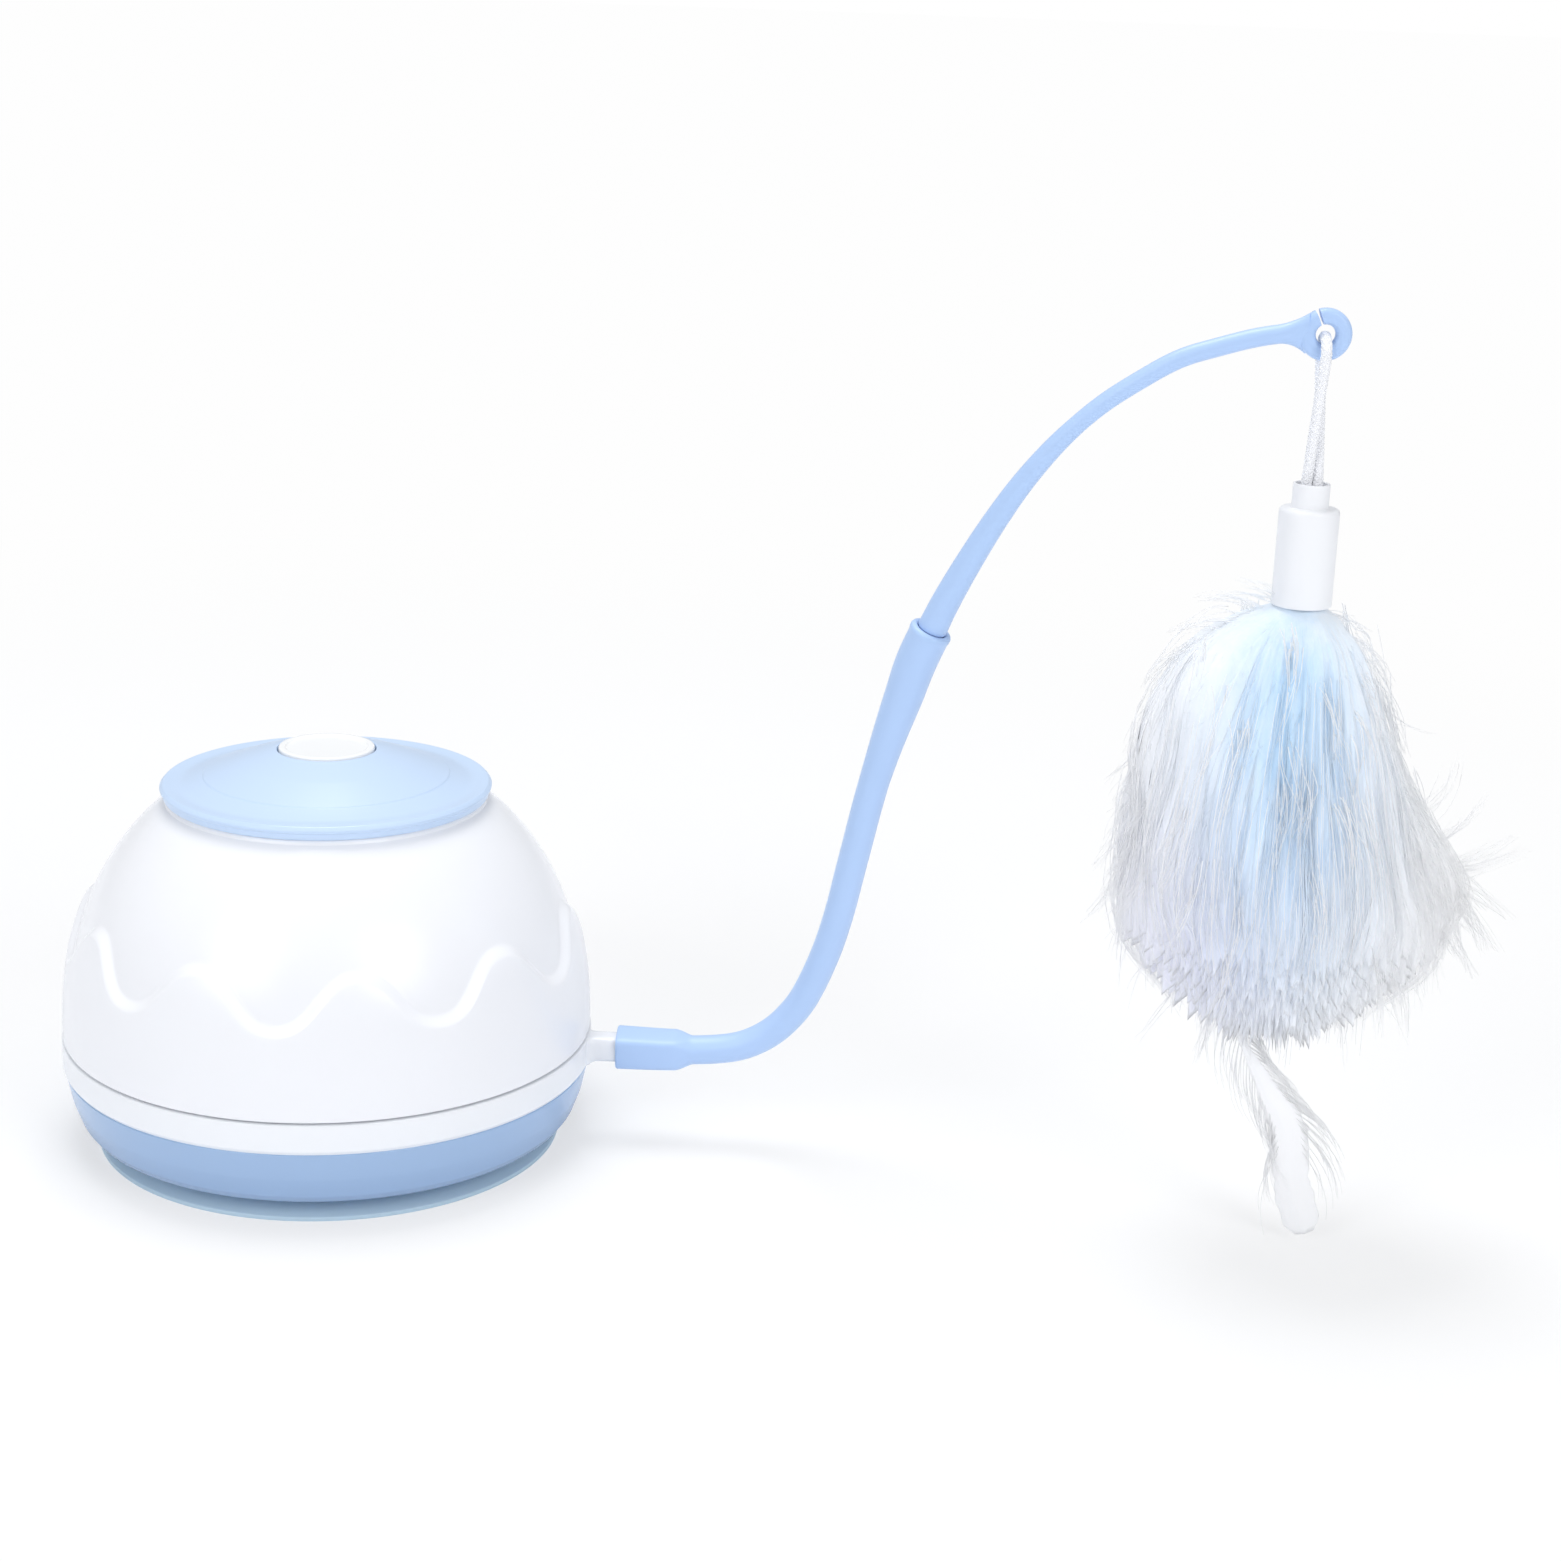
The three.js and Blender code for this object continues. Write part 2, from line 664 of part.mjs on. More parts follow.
function gearCover() {
  const bearing = shaftRadius * 3;
  const straps = [...pillarPoints, outputAxis].map(
    (p) => strap(motorAxis, p, p === outputAxis ? bearing : pillarRadius, coverBottom, coverTop),
  );
  const toIdler = strap(motorAxis, idlerAxis, bearing, coverBottom, coverTop);
  const collar = rod(
    canRadiusMotor + snugGap + collarWall,
    coverBottom,
    coverTop + collarHeight,
    motorAxis.x,
    motorAxis.y,
    bodySegments,
  );
  const above = coverTop + collarHeight + cutOverrun;
  const below = coverBottom - cutOverrun;
  return cut(
    join(...straps, toIdler, collar),
    motorShape(snugGap, coverTop, above),
    rod(motorShaftRadius + runningGap, below, above, motorAxis.x, motorAxis.y, pinSegments),
    rod(shaftRadius + runningGap, below, above, outputAxis.x, outputAxis.y),
    rod(idlerPinRadius + snugGap, below, coverTop - snugGap, idlerAxis.x, idlerAxis.y, pinSegments),
    ...pillarPoints.map((p) => screwBore(p, below, above)),
  );
}

add('gear_cover', gearCover(), acetal, 0.5);

// Motor: flatted steel can, plastic end cap with two terminals, shaft and pinion

const endCapGap = 0.3;
const endCapHeight = 2.8;
const terminal = new THREE.Vector3(1.6, 0.5, 2.6);
const terminalSpread = 3.6;
const pinionGrip = 3.4;

const idlerLargeBottom = outputGearBottom + idlerSmallHeight;
const pinionBore = 0.2;

const canBore = rod(
  motorShaftRadius + runningGap,
  canBottom - cutOverrun,
  canBottom + pinionGrip,
  motorAxis.x,
  motorAxis.y,
  pinSegments,
);

add('motor_can', cut(motorShape(0, canBottom, canTop), canBore), steel, 0.3, 0.9);

function motorEndCap() {
  const bottom = canTop + endCapGap;
  const lugs = [-terminalSpread, terminalSpread].map((x) => block(
    terminal.x,
    terminal.y,
    bottom,
    bottom + endCapHeight + terminal.z,
    motorAxis.x + x,
    motorAxis.y,
  ));
  return join(motorShape(-snugGap, bottom, bottom + endCapHeight), ...lugs);
}

add('motor_end_cap', motorEndCap(), 0xf2f2ee, 0.5);

function gear(teeth, moduleSize, turn, bottom, top, axis) {
  const radius = pitch(teeth, moduleSize);
  const slack = moduleSize * toothSlackShare;
  const tip = radius + moduleSize * tipShare;
  const shape = gearShape(teeth, moduleSize, slack, tip, radius - moduleSize * rootShare);
  return plate(shape, bottom, top).rotate([0, 0, turn / degree]).translate([axis.x, axis.y, 0]);
}

// The turn of a small gear in an internal gear, and of one outside another, that puts them in mesh.
const turnInside = (angle, ringCount, teeth) => angle * (1 - ringCount / teeth);
const turnOutside = (angle, turn, count, teeth) => (
  angle + Math.PI - (turn - angle) * (count / teeth) - Math.PI / teeth
);

const motorPinionBottom = idlerLargeBottom - runningGap;
const motorPinionTop = coverBottom - runningGap;

const motorShaftTop = canBottom + pinionGrip - seatGap;
add('motor_shaft', rod(
  motorShaftRadius, motorPinionBottom, motorShaftTop, motorAxis.x, motorAxis.y, pinSegments,
), steel, 0.2, 0.9);

add('motor_pinion', cut(
  gear(
    motorTeeth, idlerModule, turnOutside(motorAngle, 0, idlerLargeTeeth, motorTeeth),
    motorPinionBottom, motorPinionTop, motorAxis,
  ),
  rod(
    motorShaftRadius + pinionBore,
    motorPinionBottom - cutOverrun,
    coverTop,
    motorAxis.x,
    motorAxis.y,
    pinSegments,
  ),
), acetal, 0.45);

// Idler: a steel pin held in chassis and cover, and a two-step gear that turns on it

add('idler_pin', rod(
  idlerPinRadius,
  chassisBottom + 2 * snugGap,
  coverTop - 2 * snugGap,
  idlerAxis.x,
  idlerAxis.y,
  pinSegments,
), steel, 0.2, 0.9);

function idlerGear() {
  const small = gear(
    idlerSmallTeeth, outputModule, turnOutside(idlerAngle, 0, outputTeeth, idlerSmallTeeth),
    outputGearBottom, idlerLargeBottom + idlerLargeHeight / 2, idlerAxis,
  );
  const large = gear(
    idlerLargeTeeth, idlerModule, 0, idlerLargeBottom, idlerLargeBottom + idlerLargeHeight, idlerAxis,
  );
  const boreRadius = idlerPinRadius + runningGap;
  const bore = rod(boreRadius, chassisTop, coverTop, idlerAxis.x, idlerAxis.y, pinSegments);
  return cut(join(small, large), bore);
}

add('idler_gear', idlerGear(), acetal, 0.45);

// Output: a steel shaft with the large gear above the chassis and the ring's pinion below it

const pinionBottom = gearRimBottom;
const pinionTop = chassisBottom - runningGap;
const hubHeight = 1.6;

add('output_shaft', rod(
  shaftRadius, pinionBottom - runningGap, coverTop - snugGap, outputAxis.x, outputAxis.y,
), steel, 0.2, 0.9);

add('output_gear', cut(
  join(
    gear(outputTeeth, outputModule, 0, outputGearBottom, outputGearBottom + outputGearHeight, outputAxis),
    rod(shaftRadius * 2.4, outputGearBottom, coverBottom - runningGap, outputAxis.x, outputAxis.y),
  ),
  rod(shaftRadius + snugGap, chassisTop, coverTop, outputAxis.x, outputAxis.y),
), acetal, 0.45);

add('drive_pinion', cut(
  join(
    gear(
      pinionTeeth, ringModule, turnInside(outputAngle, ringTeeth, pinionTeeth),
      pinionBottom, pinionTop - hubHeight, outputAxis,
    ),
    rod(shaftRadius * 2.4, pinionBottom, pinionTop, outputAxis.x, outputAxis.y),
  ),
  rod(shaftRadius + snugGap, pinionBottom - cutOverrun, chassisBottom, outputAxis.x, outputAxis.y),
), acetal, 0.45);

// Dome shell: a rounded crown whose lower part stands proud along a wave of ten crests

const domeRadius = 50.8;
const domeCurvePower = 2.38;
const domeCurveRoot = 0.523;
const reliefHeight = 1.4;
const waveCount = 10;
const waveMiddle = 21.8;
const waveSwing = 4.7;
const waveFlatShare = 0.22;
const waveEdgeWidth = 2.0;
const domeEdge = 0.6;
const deckRadius = 27.4;
const shoulderRadius = 31.3;
const shoulderDrop = 1.7;
const wellRadius = 12.0;
const lipDepth = 0.9;
const lipWall = 1.9;
const earBossRadius = 3.0;
const earBossHeight = 11.0;
const earBossSlant = 4.0;
const boardPillarSpread = 15.4;
const boardPillarRadius = 2.6;
const switchBoardThickness = 1.2;
const switchBoardDrop = 2.0;
const switchBodySize = 6.0;
const switchBodyHeight = 3.4;
const plungerRadius = 1.6;
const plungerReach = 1.6;

const deckBottom = deckTop - domeWall;
const shoulderTop = deckTop - shoulderDrop;
const switchBoardTop = deckBottom - switchBoardDrop;
const switchBoardBottom = switchBoardTop - switchBoardThickness;
const discScrewCircle = 18.0;
const discScrewLength = 5.6;
const discScrewPoints = [90, 210, 330].map((angle) => planPoint(discScrewCircle, angle * degree));
const switchPillarPoints = [-boardPillarSpread, boardPillarSpread].map((x) => new THREE.Vector2(x, 0));
const switchScrewLength = 5.0;

// The crown's curve starts upright at the lower edge and reaches the shoulder's radius at its top.
const crownFall = 1 - (shoulderRadius / domeRadius) ** (1 / domeCurveRoot);
const domeBase = (height) => {
  const share = Math.max(0, (height - domeBottom) / (shoulderTop - domeBottom));
  return domeRadius * (1 - crownFall * share ** domeCurvePower) ** domeCurveRoot;
};

// The wave's height round the dome, a sine with its crests and troughs filled out a little.
const waveHeight = (angle) => {
  const swing = Math.cos(waveCount * angle);
  return domeBottom + waveMiddle + waveSwing * swing * (1 + waveFlatShare * (1 - swing * swing));
};

// Rows of the dome's skin from its lower edge up. Each gives the height and how proud it stands.
const domeRows = [
  () => [domeBottom, reliefHeight - domeEdge / 2],
  () => [domeBottom + domeEdge, reliefHeight],
  (wave) => [wave - waveEdgeWidth / 2, reliefHeight],
  (wave) => [wave + waveEdgeWidth / 2, 0],
  (wave) => [(wave + shoulderTop) / 2, 0],
  (wave) => [wave * 0.2 + shoulderTop * 0.8, 0],
  () => [shoulderTop, 0],
];

function domeShell() {
  const sides = waveCount * 6;
  const rings = domeRows.map((row) => Array.from({ length: sides }, (_, i) => {
    const angle = (i / sides) * fullTurn;
    const [height, proud] = row(waveHeight(angle));
    const point = planPoint(domeBase(height) + proud, angle);
    return new THREE.Vector3(point.x, point.y, height);
  }));
  const crownRing = (radius, height) => Array.from({ length: sides }, (_, i) => {
    const point = planPoint(radius, (i / sides) * fullTurn);
    return new THREE.Vector3(point.x, point.y, height);
  });
  rings.push(crownRing((shoulderRadius + 2 * deckRadius) / 3, deckTop - shoulderDrop / 4));
  rings.push(crownRing(deckRadius, deckTop));
  const skin = loft(rings);
  const inside = (height) => domeBase(height) - domeWall * 0.6;
  const levels = [0, 0.4, 0.65, 0.85].map((share) => domeBottom + share * (deckBottom - domeBottom));
  const hollow = revolve([
    [0, domeBottom - cutOverrun],
    [inside(domeBottom), domeBottom - cutOverrun],
    ...levels.map((height) => [inside(height) - (height - domeBottom) * 0.02, height]),
    [shoulderRadius - domeWall, deckBottom],
    [0, deckBottom],
  ], wideSegments);
  const lipOuter = ringRadius - skirtWall - 2 * runningGap;
  const lip = revolve([
    [lipOuter, webTop + runningGap],
    [lipOuter, domeBottom + lipDepth],
    [inside(domeBottom) + domeWall / 2, domeBottom + 2 * lipDepth],
    [lipOuter - lipWall, domeBottom + 2 * lipDepth + lipWall],
    [lipOuter - lipWall, webTop + runningGap],
  ], wideSegments);
  const bossBottom = chassisTop + seatGap;
  const bosses = earPoints.flatMap((p, i) => {
    const wallPoint = planPoint(inside(bossBottom) + domeWall / 3, legAngles[i]);
    const boss = rod(earBossRadius, bossBottom, bossBottom + earBossHeight, p.x, p.y);
    const ribTop = bossBottom + earBossHeight - earBossSlant;
    return [boss, strap(p, wallPoint, earBossRadius / 2, bossBottom, ribTop)];
  });
  const boardPillars = switchPillarPoints.map(
    (p) => rod(boardPillarRadius, switchBoardTop + seatGap, deckBottom + domeWall / 2, p.x, p.y),
  );
  const drills = [
    rod(wellRadius, deckBottom - cutOverrun, deckTop + cutOverrun, 0, 0, bodySegments),
    ...earPoints.map((p) => screwBore(p, chassisTop, chassisBottom + domeScrewLength + seatGap)),
    ...discScrewPoints.map((p) => screwBore(p, deckBottom - cutOverrun, deckTop + cutOverrun)),
    ...switchPillarPoints.map((p) => screwBore(p, switchBoardTop, deckTop - snugGap)),
  ];
  return cut(join(cut(skin, hollow), lip, ...bosses, ...boardPillars), ...drills);
}

add('dome_shell', domeShell(), white, 0.12);

// Top disc: a shallow cone with a dished border and a rolled rim, screwed on from under the deck

const hubRise = 8.4;
const coneCrown = 0.3;
const creaseRadius = 24.0;
const creaseRise = 3.2;
const creaseStep = 0.25;
const dishRadius = 28.4;
const dishRise = 1.65;
const rimRise = 2.0;
const rimDrop = 0.9;
const discWall = 1.8;
const rimRoll = 0.5;
const hubWall = 2.0;
const buttonGap = 0.3;
const flangeWidth = 1.2;
const flangeThickness = 1.2;
const flangeSeatRise = 3.5;
const seatSkirtRadius = 26.6;
const seatSkirtWall = 1.4;
const discBossRadius = 3.0;

const discHubTop = deckTop + hubRise;
const creaseHeight = deckTop + creaseRise;
const dishHeight = deckTop + dishRise;
const discRimTop = deckTop + rimRise;
const discRimBottom = deckTop - rimDrop;
const hubShoulder = deckTop + flangeSeatRise;
const hubBore = buttonRadius + buttonGap;
const flangeRadius = buttonRadius + flangeWidth;
const hubWell = flangeRadius + buttonGap;
const hubOuter = hubWell + hubWall;
const discSeat = deckTop + seatGap;
const coneSlope = (discHubTop - creaseHeight) / (creaseRadius - hubBore);
const coneHeight = (radius) => discHubTop - (radius - hubBore) * coneSlope;
const coneMiddle = (hubBore + creaseRadius) / 2;

function topDisc() {
  const shell = revolve([
    [hubBore, discHubTop],
    [coneMiddle, coneHeight(coneMiddle) + coneCrown],
    [creaseRadius - creaseStep, creaseHeight + creaseStep],
    [creaseRadius, creaseHeight],
    [dishRadius, dishHeight],
    [discRadius - 3 * rimRoll, discRimTop - rimRoll / 2],
    [discRadius - 2 * rimRoll, discRimTop],
    [discRadius - rimRoll / 2, discRimTop - rimRoll],
    [discRadius, discRimTop - 2 * rimRoll],
    [discRadius - rimRoll, discRimTop - 3 * rimRoll],
    [discRadius - 2 * rimRoll, discRimBottom],
    [discRadius - 4 * rimRoll, discRimBottom],
    [discRadius - 5 * rimRoll, discRimTop - discWall],
    [seatSkirtRadius, dishHeight - discWall / 2],
    [seatSkirtRadius, discSeat],
    [seatSkirtRadius - seatSkirtWall, discSeat],
    [seatSkirtRadius - seatSkirtWall, coneHeight(seatSkirtRadius - seatSkirtWall) - discWall],
    [hubOuter, coneHeight(hubOuter) - discWall],
    [hubOuter, discSeat],
    [hubWell, discSeat],
    [hubWell, hubShoulder],
    [hubBore, hubShoulder],
  ], wideSegments);
  const bosses = discScrewPoints.map((p) => rod(
    discBossRadius, discSeat, coneHeight(discScrewCircle + discBossRadius) - discWall / 2, p.x, p.y,
  ));
  const bores = discScrewPoints.map(
    (p) => screwBore(p, discSeat - cutOverrun, deckBottom + discScrewLength + seatGap),
  );
  return cut(join(shell, ...bosses), ...bores);
}

add('top_disc', topDisc(), blue, 0.3);

// Power button: a white cap with a raised rim, kept in by its flange, over a small press switch

const buttonProud = 0.4;
const capWall = 1.3;
const crownRim = 0.35;
const crownRimWidth = 1.2;
const buttonStemRadius = 2.2;
const buttonTop = discHubTop + buttonProud;
const flangeTop = hubShoulder - buttonGap;
const switchBodyBottom = switchBoardTop + seatGap;
const switchBodyTop = switchBodyBottom + switchBodyHeight;
const plungerTop = switchBodyTop + plungerReach;

add('power_button', revolve([
  [0, plungerTop + seatGap],
  [buttonStemRadius, plungerTop + seatGap],
  [buttonStemRadius, buttonTop - crownRim - capWall],
  [buttonRadius - capWall, buttonTop - crownRim - capWall],
  [buttonRadius - capWall, flangeTop - flangeThickness],
  [flangeRadius, flangeTop - flangeThickness],
  [flangeRadius, flangeTop],
  [buttonRadius, flangeTop],
  [buttonRadius, buttonTop - crownRim],
  [buttonRadius - crownRim, buttonTop],
  [buttonRadius - crownRimWidth, buttonTop],
  [buttonRadius - crownRimWidth - crownRim, buttonTop - crownRim],
  [0, buttonTop - crownRim / 2],
], capSegments), white, 0.25);

const switchBoardLength = 2 * (boardPillarSpread + boardPillarRadius);
const switchBoardDepth = 11.0;

add('switch_board', cut(
  plate(
    roundedShape(switchBoardLength, switchBoardDepth, boardPillarRadius),
    switchBoardBottom,
    switchBoardTop,
    cornerSegments,
  ),
  ...switchPillarPoints.map(
    (p) => screwBore(p, switchBoardBottom - cutOverrun, switchBoardTop + cutOverrun),
  ),
), boardGreen, 0.5);

add('switch_body', cut(
  block(switchBodySize, switchBodySize, switchBodyBottom, switchBodyTop),
  rod(
    plungerRadius + runningGap,
    switchBodyTop - buttonTravel - 2 * seatGap,
    switchBodyTop + cutOverrun,
    0,
    0,
    pinSegments,
  ),
), 0x2b2d31, 0.4);

const plunger = rod(plungerRadius, switchBodyTop - seatGap, plungerTop, 0, 0, pinSegments);
add('switch_plunger', plunger, 0x202226, 0.4);

// Leads: motor and switch wires drop through the chassis notch to the board's plug

const leadRadius = 0.75;
const leadSides = 6;
const notchPoint = planPoint(chassisRadius - notchRadius, notchAngle);
const plugSide = plugHousing.x / 2 + seatGap;
const plugLevel = boardTop + plugHousing.z - leadRadius;

function leadThroughNotch(start, above, shift, plugShift) {
  const points = [
    start,
    above,
    new THREE.Vector3(notchPoint.x * 0.85 + shift, notchPoint.y * 0.85 + shift, coverTop + collarHeight),
    new THREE.Vector3(notchPoint.x + shift, notchPoint.y + shift, coverBottom),
    new THREE.Vector3(notchPoint.x + shift, notchPoint.y + shift, webTop),
    new THREE.Vector3(notchPoint.x * 0.82, plugMiddleY + plugShift * 2, plugLevel + leadRadius),
    new THREE.Vector3(-boardWidth / 2, plugMiddleY + plugShift, plugLevel),
    new THREE.Vector3(-plugSide, plugMiddleY + plugShift, plugLevel - leadRadius / 2),
  ];
  return tubeAlong(points, leadRadius, leadSides, 15);
}

const terminalTop = canTop + endCapGap + endCapHeight + terminal.z;
const terminalX = motorAxis.x - terminalSpread;

add('motor_lead', leadThroughNotch(
  new THREE.Vector3(terminalX, motorAxis.y, terminalTop + 2 * leadRadius),
  new THREE.Vector3(terminalX - 2 * canRadiusMotor, motorAxis.y + canRadiusMotor, terminalTop),
  -leadRadius * 1.3,
  -leadRadius * 1.4,
), 0xb03030, 0.5);

add('switch_lead', leadThroughNotch(
  new THREE.Vector3(-switchBodySize * 1.3, switchBodySize / 2, switchBoardBottom - 2 * leadRadius),
  new THREE.Vector3(-switchBodySize * 1.6, switchBodySize * 3.2, terminalTop),
  leadRadius * 1.3,
  leadRadius * 1.4,
), 0x2a4f9a, 0.5);

const packEndY = packMiddleY + packDepth / 2;

add('battery_lead', tubeAlong([
  new THREE.Vector3(packLength / 4, packEndY + seatGap + leadRadius / 2, packBottom + packThickness / 2),
  new THREE.Vector3(packLength / 2.6, (boardFront + packEndY) / 2, packBottom + leadRadius),
  new THREE.Vector3(boardWidth / 2, plugMiddleY - leadRadius, plugLevel),
  new THREE.Vector3(plugSide, plugMiddleY, plugLevel - leadRadius / 2),
], leadRadius, leadSides, 7), 0x23252a, 0.5);

// Screws: three up through the bowl, three through the chassis ears, three under the deck, two
// under the switch board, two in the main board and three down through the gear cover

function screwSet(name, points, seat, length, upward, headRadius = screwHeadRadius) {
  points.forEach((p, i) => {
    const body = screwUp(headRadius, screwHeadHeight, screwShankRadius, length);
    const placed = (upward ? body : body.rotate([180, 0, 0])).translate([p.x, p.y, seat]);
    add(`${name}_${i + 1}`, placed, steel, 0.35, 0.85);
  });
}

screwSet('base_screw', legPoints, baseScrewSeat, baseScrewLength, true);
screwSet('dome_screw', earPoints, chassisBottom - seatGap, domeScrewLength, true);
screwSet('disc_screw', discScrewPoints, deckBottom - seatGap, discScrewLength, true);
screwSet('switch_screw', switchPillarPoints, switchBoardBottom - seatGap, switchScrewLength, true);
screwSet('cover_screw', pillarPoints, coverTop + seatGap, coverScrewLength, false);
screwSet('board_screw', boardPoints, boardScrewSeat, boardScrewLength, false);

// Wand: a plane curve that leaves the stub along +X, rises, and leans towards the viewer (-Y)

const wandLean = 12.5 * degree;
const sleeveGap = 5.5;
const sleeveLength = 12.0;
const sleeveTaper = 3.4;
const sleeveSize = 7.2;
const sleeveEndSize = 6.85;
const sleeveSquareness = 5;
const wandTubeRadius = 2.9;
const jointFlareLength = 24.0;
const jointCuffLength = 11.5;
const jointCuffRadius = 3.85;
const jointBead = 0.2;
const jointDepth = 11.5;
const spigotRadius = 2.5;
const tipBaseRadius = 2.8;
const tipEndRadius = 1.65;
const tipTaperLength = 48.0;
const wandSides = 10;

const wandStart = ringRadius + sleeveGap;
const wandSpan = hookReach - wandStart;
const wandRise = (hookHeight - stubHeight) / Math.cos(wandLean);
const wandUp = new THREE.Vector3(0, -Math.sin(wandLean), Math.cos(wandLean));
const wandNormal = new THREE.Vector3().crossVectors(wandUp, alongX);

// Places along the wand as shares of its span outward and of its rise.
const lowerPathShares = [
  [0, 0], [0.095, 0], [0.163, 0.004], [0.202, 0.011], [0.234, 0.024], [0.26, 0.041], [0.282, 0.062],
  [0.302, 0.088], [0.332, 0.15], [0.352, 0.21], [0.373, 0.298], [0.401, 0.4125], [0.437, 0.523],
  [0.4745, 0.6165],
];
const upperPathShares = [
  [0.4745, 0.6165], [0.495, 0.657], [0.526, 0.71], [0.559, 0.761], [0.597, 0.812], [0.6445, 0.863],
  [0.696, 0.9055], [0.749, 0.938], [0.802, 0.965], [0.856, 0.981], [0.91, 0.994], [0.951, 0.9995], [1, 1],
];
const wandPoint = ([span, rise]) => new THREE.Vector3(wandStart + span * wandSpan, 0, stubHeight)
  .addScaledVector(wandUp, rise * wandRise);
const lowerPath = new THREE.CatmullRomCurve3(lowerPathShares.map(wandPoint));
const upperPath = new THREE.CatmullRomCurve3(upperPathShares.map(wandPoint));
const mouth = upperPath.getPoint(0);
const mouthAxis = upperPath.getPoint(0.03).sub(mouth).normalize();

// A tube along a path in the wand's plane. Each station is [distance, half width, squareness, half height].
function wandTube(path, stations) {
  const length = path.getLength();
  return stations.map(([distance, half, squareness = 2, halfInPlane = half]) => {
    const at = Math.min(1, Math.max(0, distance / length));
    const axis = path.getTangentAt(at);
    const side = new THREE.Vector3().crossVectors(axis, wandNormal).normalize();
    return sectionRing(path.getPointAt(at), wandNormal, side, half, halfInPlane, squareness, wandSides);
  });
}

function straightTube(start, axis, stations) {
  const side = new THREE.Vector3().crossVectors(axis, wandNormal).normalize();
  return stations.map(([distance, half]) => sectionRing(
    start.clone().addScaledVector(axis, distance), wandNormal, side, half, half, 2, wandSides,
  ));
}

function evenly(from, to, count) {
  return Array.from({ length: count + 1 }, (_, i) => from + ((to - from) * i) / count);
}

function wandLower() {
  const length = lowerPath.getLength();
  const flareStart = length - jointCuffLength - jointFlareLength;
  const outer = loft([
    ...wandTube(lowerPath, [
      [0, sleeveSize / 2 - jointBead, sleeveSquareness],
      [jointBead, sleeveSize / 2, sleeveSquareness],
      [sleeveLength, sleeveEndSize / 2, sleeveSquareness],
      [sleeveLength + sleeveTaper / 3, sleeveEndSize / 2 - jointBead * 2, sleeveSquareness * 0.8],
      [sleeveLength + sleeveTaper, wandTubeRadius, 2],
      ...evenly(sleeveLength + 2 * sleeveTaper, flareStart, 13).map((s) => [s, wandTubeRadius]),
      ...evenly(0.25, 0.75, 2).map((share) => [
        flareStart + share * jointFlareLength,
        THREE.MathUtils.lerp(wandTubeRadius, jointCuffRadius, share * share * (3 - 2 * share)),
      ]),
    ]),
    ...straightTube(mouth, mouthAxis, [
      [-jointCuffLength, jointCuffRadius],
      [-4 * jointBead, jointCuffRadius],
      [-3 * jointBead, jointCuffRadius + jointBead],
      [-jointBead, jointCuffRadius + jointBead],
      [0, jointCuffRadius],
    ]),
  ]);
  const bore = sleeveBore();
  const socket = loft(straightTube(mouth, mouthAxis, [
    [-jointDepth - seatGap, spigotRadius + snugGap],
    [cutOverrun, spigotRadius + snugGap],
  ]));
  return cut(outer, bore, socket);
}

// The sleeve's bore follows the stub that it is pushed on, and ends just past the stub's end.
function sleeveBore() {
  const half = stubSize / 2 + snugGap;
  const station = (x) => sectionRing(
    new THREE.Vector3(x, 0, stubHeight), alongY, alongZ, half, half, stubSquareness, smallSegments,
  );
  return loft([station(wandStart - cutOverrun), station(stubEnd + seatGap)]);
}

add('wand_lower', wandLower(), 0xbad4fa, 0.4);

const eyeOuterRadius = 4.55;
const eyeHoleRadius = 1.7;
const eyeThickness = 3.0;
const eyeSlit = 0.5;
const eyeSlitAngle = 113 * degree;
const flareLength = 7.5;
const hook = upperPath.getPoint(1);

function wandUpper() {
  const length = upperPath.getLength();
  const flareEnd = length - (eyeOuterRadius + eyeHoleRadius) / 2;
  const taper = (s) => Math.min(1, s / tipTaperLength);
  const radiusAt = (s) => THREE.MathUtils.lerp(tipBaseRadius, tipEndRadius, taper(s));
  const rise = flareEnd - (length - flareLength);
  const outer = loft([
    ...straightTube(mouth, mouthAxis, [
      [-jointDepth, spigotRadius * 0.85],
      [-jointDepth + spigotRadius / 4, spigotRadius],
      [seatGap, spigotRadius],
      [seatGap, tipBaseRadius],
    ]),
    ...wandTube(upperPath, [
      ...evenly(tipBaseRadius, length - flareLength, 13).map((s) => [s, radiusAt(s)]),
      [flareEnd - rise * 0.55, tipEndRadius, 2, eyeOuterRadius * 0.48],
      [flareEnd - rise * 0.25, tipEndRadius, 2, eyeOuterRadius * 0.66],
      [flareEnd, eyeThickness * 0.46, 2, eyeOuterRadius * 0.79],
    ]),
  ]);
  const middle = (eyeOuterRadius + eyeHoleRadius) / 2;
  const wall = (eyeOuterRadius - eyeHoleRadius) / 2;
  const section = evenly(0, fullTurn, 6).slice(0, -1).map(
    (angle) => [middle + wall * Math.cos(angle), (eyeThickness / 2) * Math.sin(angle)],
  );
  const eye = revolve(section, capSegments).rotate([90, 0, 0]).translate(hook.toArray());
  const hole = rod(eyeHoleRadius, -eyeThickness, eyeThickness, 0, 0, capSegments)
    .rotate([90, 0, 0])
    .translate(hook.toArray());
  const slitLength = eyeOuterRadius + cutOverrun;
  const slit = block(slitLength, eyeSlit, -eyeThickness, eyeThickness, slitLength / 2, 0)
    .rotate([0, 0, eyeSlitAngle / degree])
    .rotate([90, 0, 0])
    .translate(hook.toArray());
  return cut(join(outer, eye), hole, slit);
}

add('wand_upper', wandUpper(), 0xbad4fa, 0.4);

// Cord loop: one braided cord through the eye, both ends down into the lure's cap

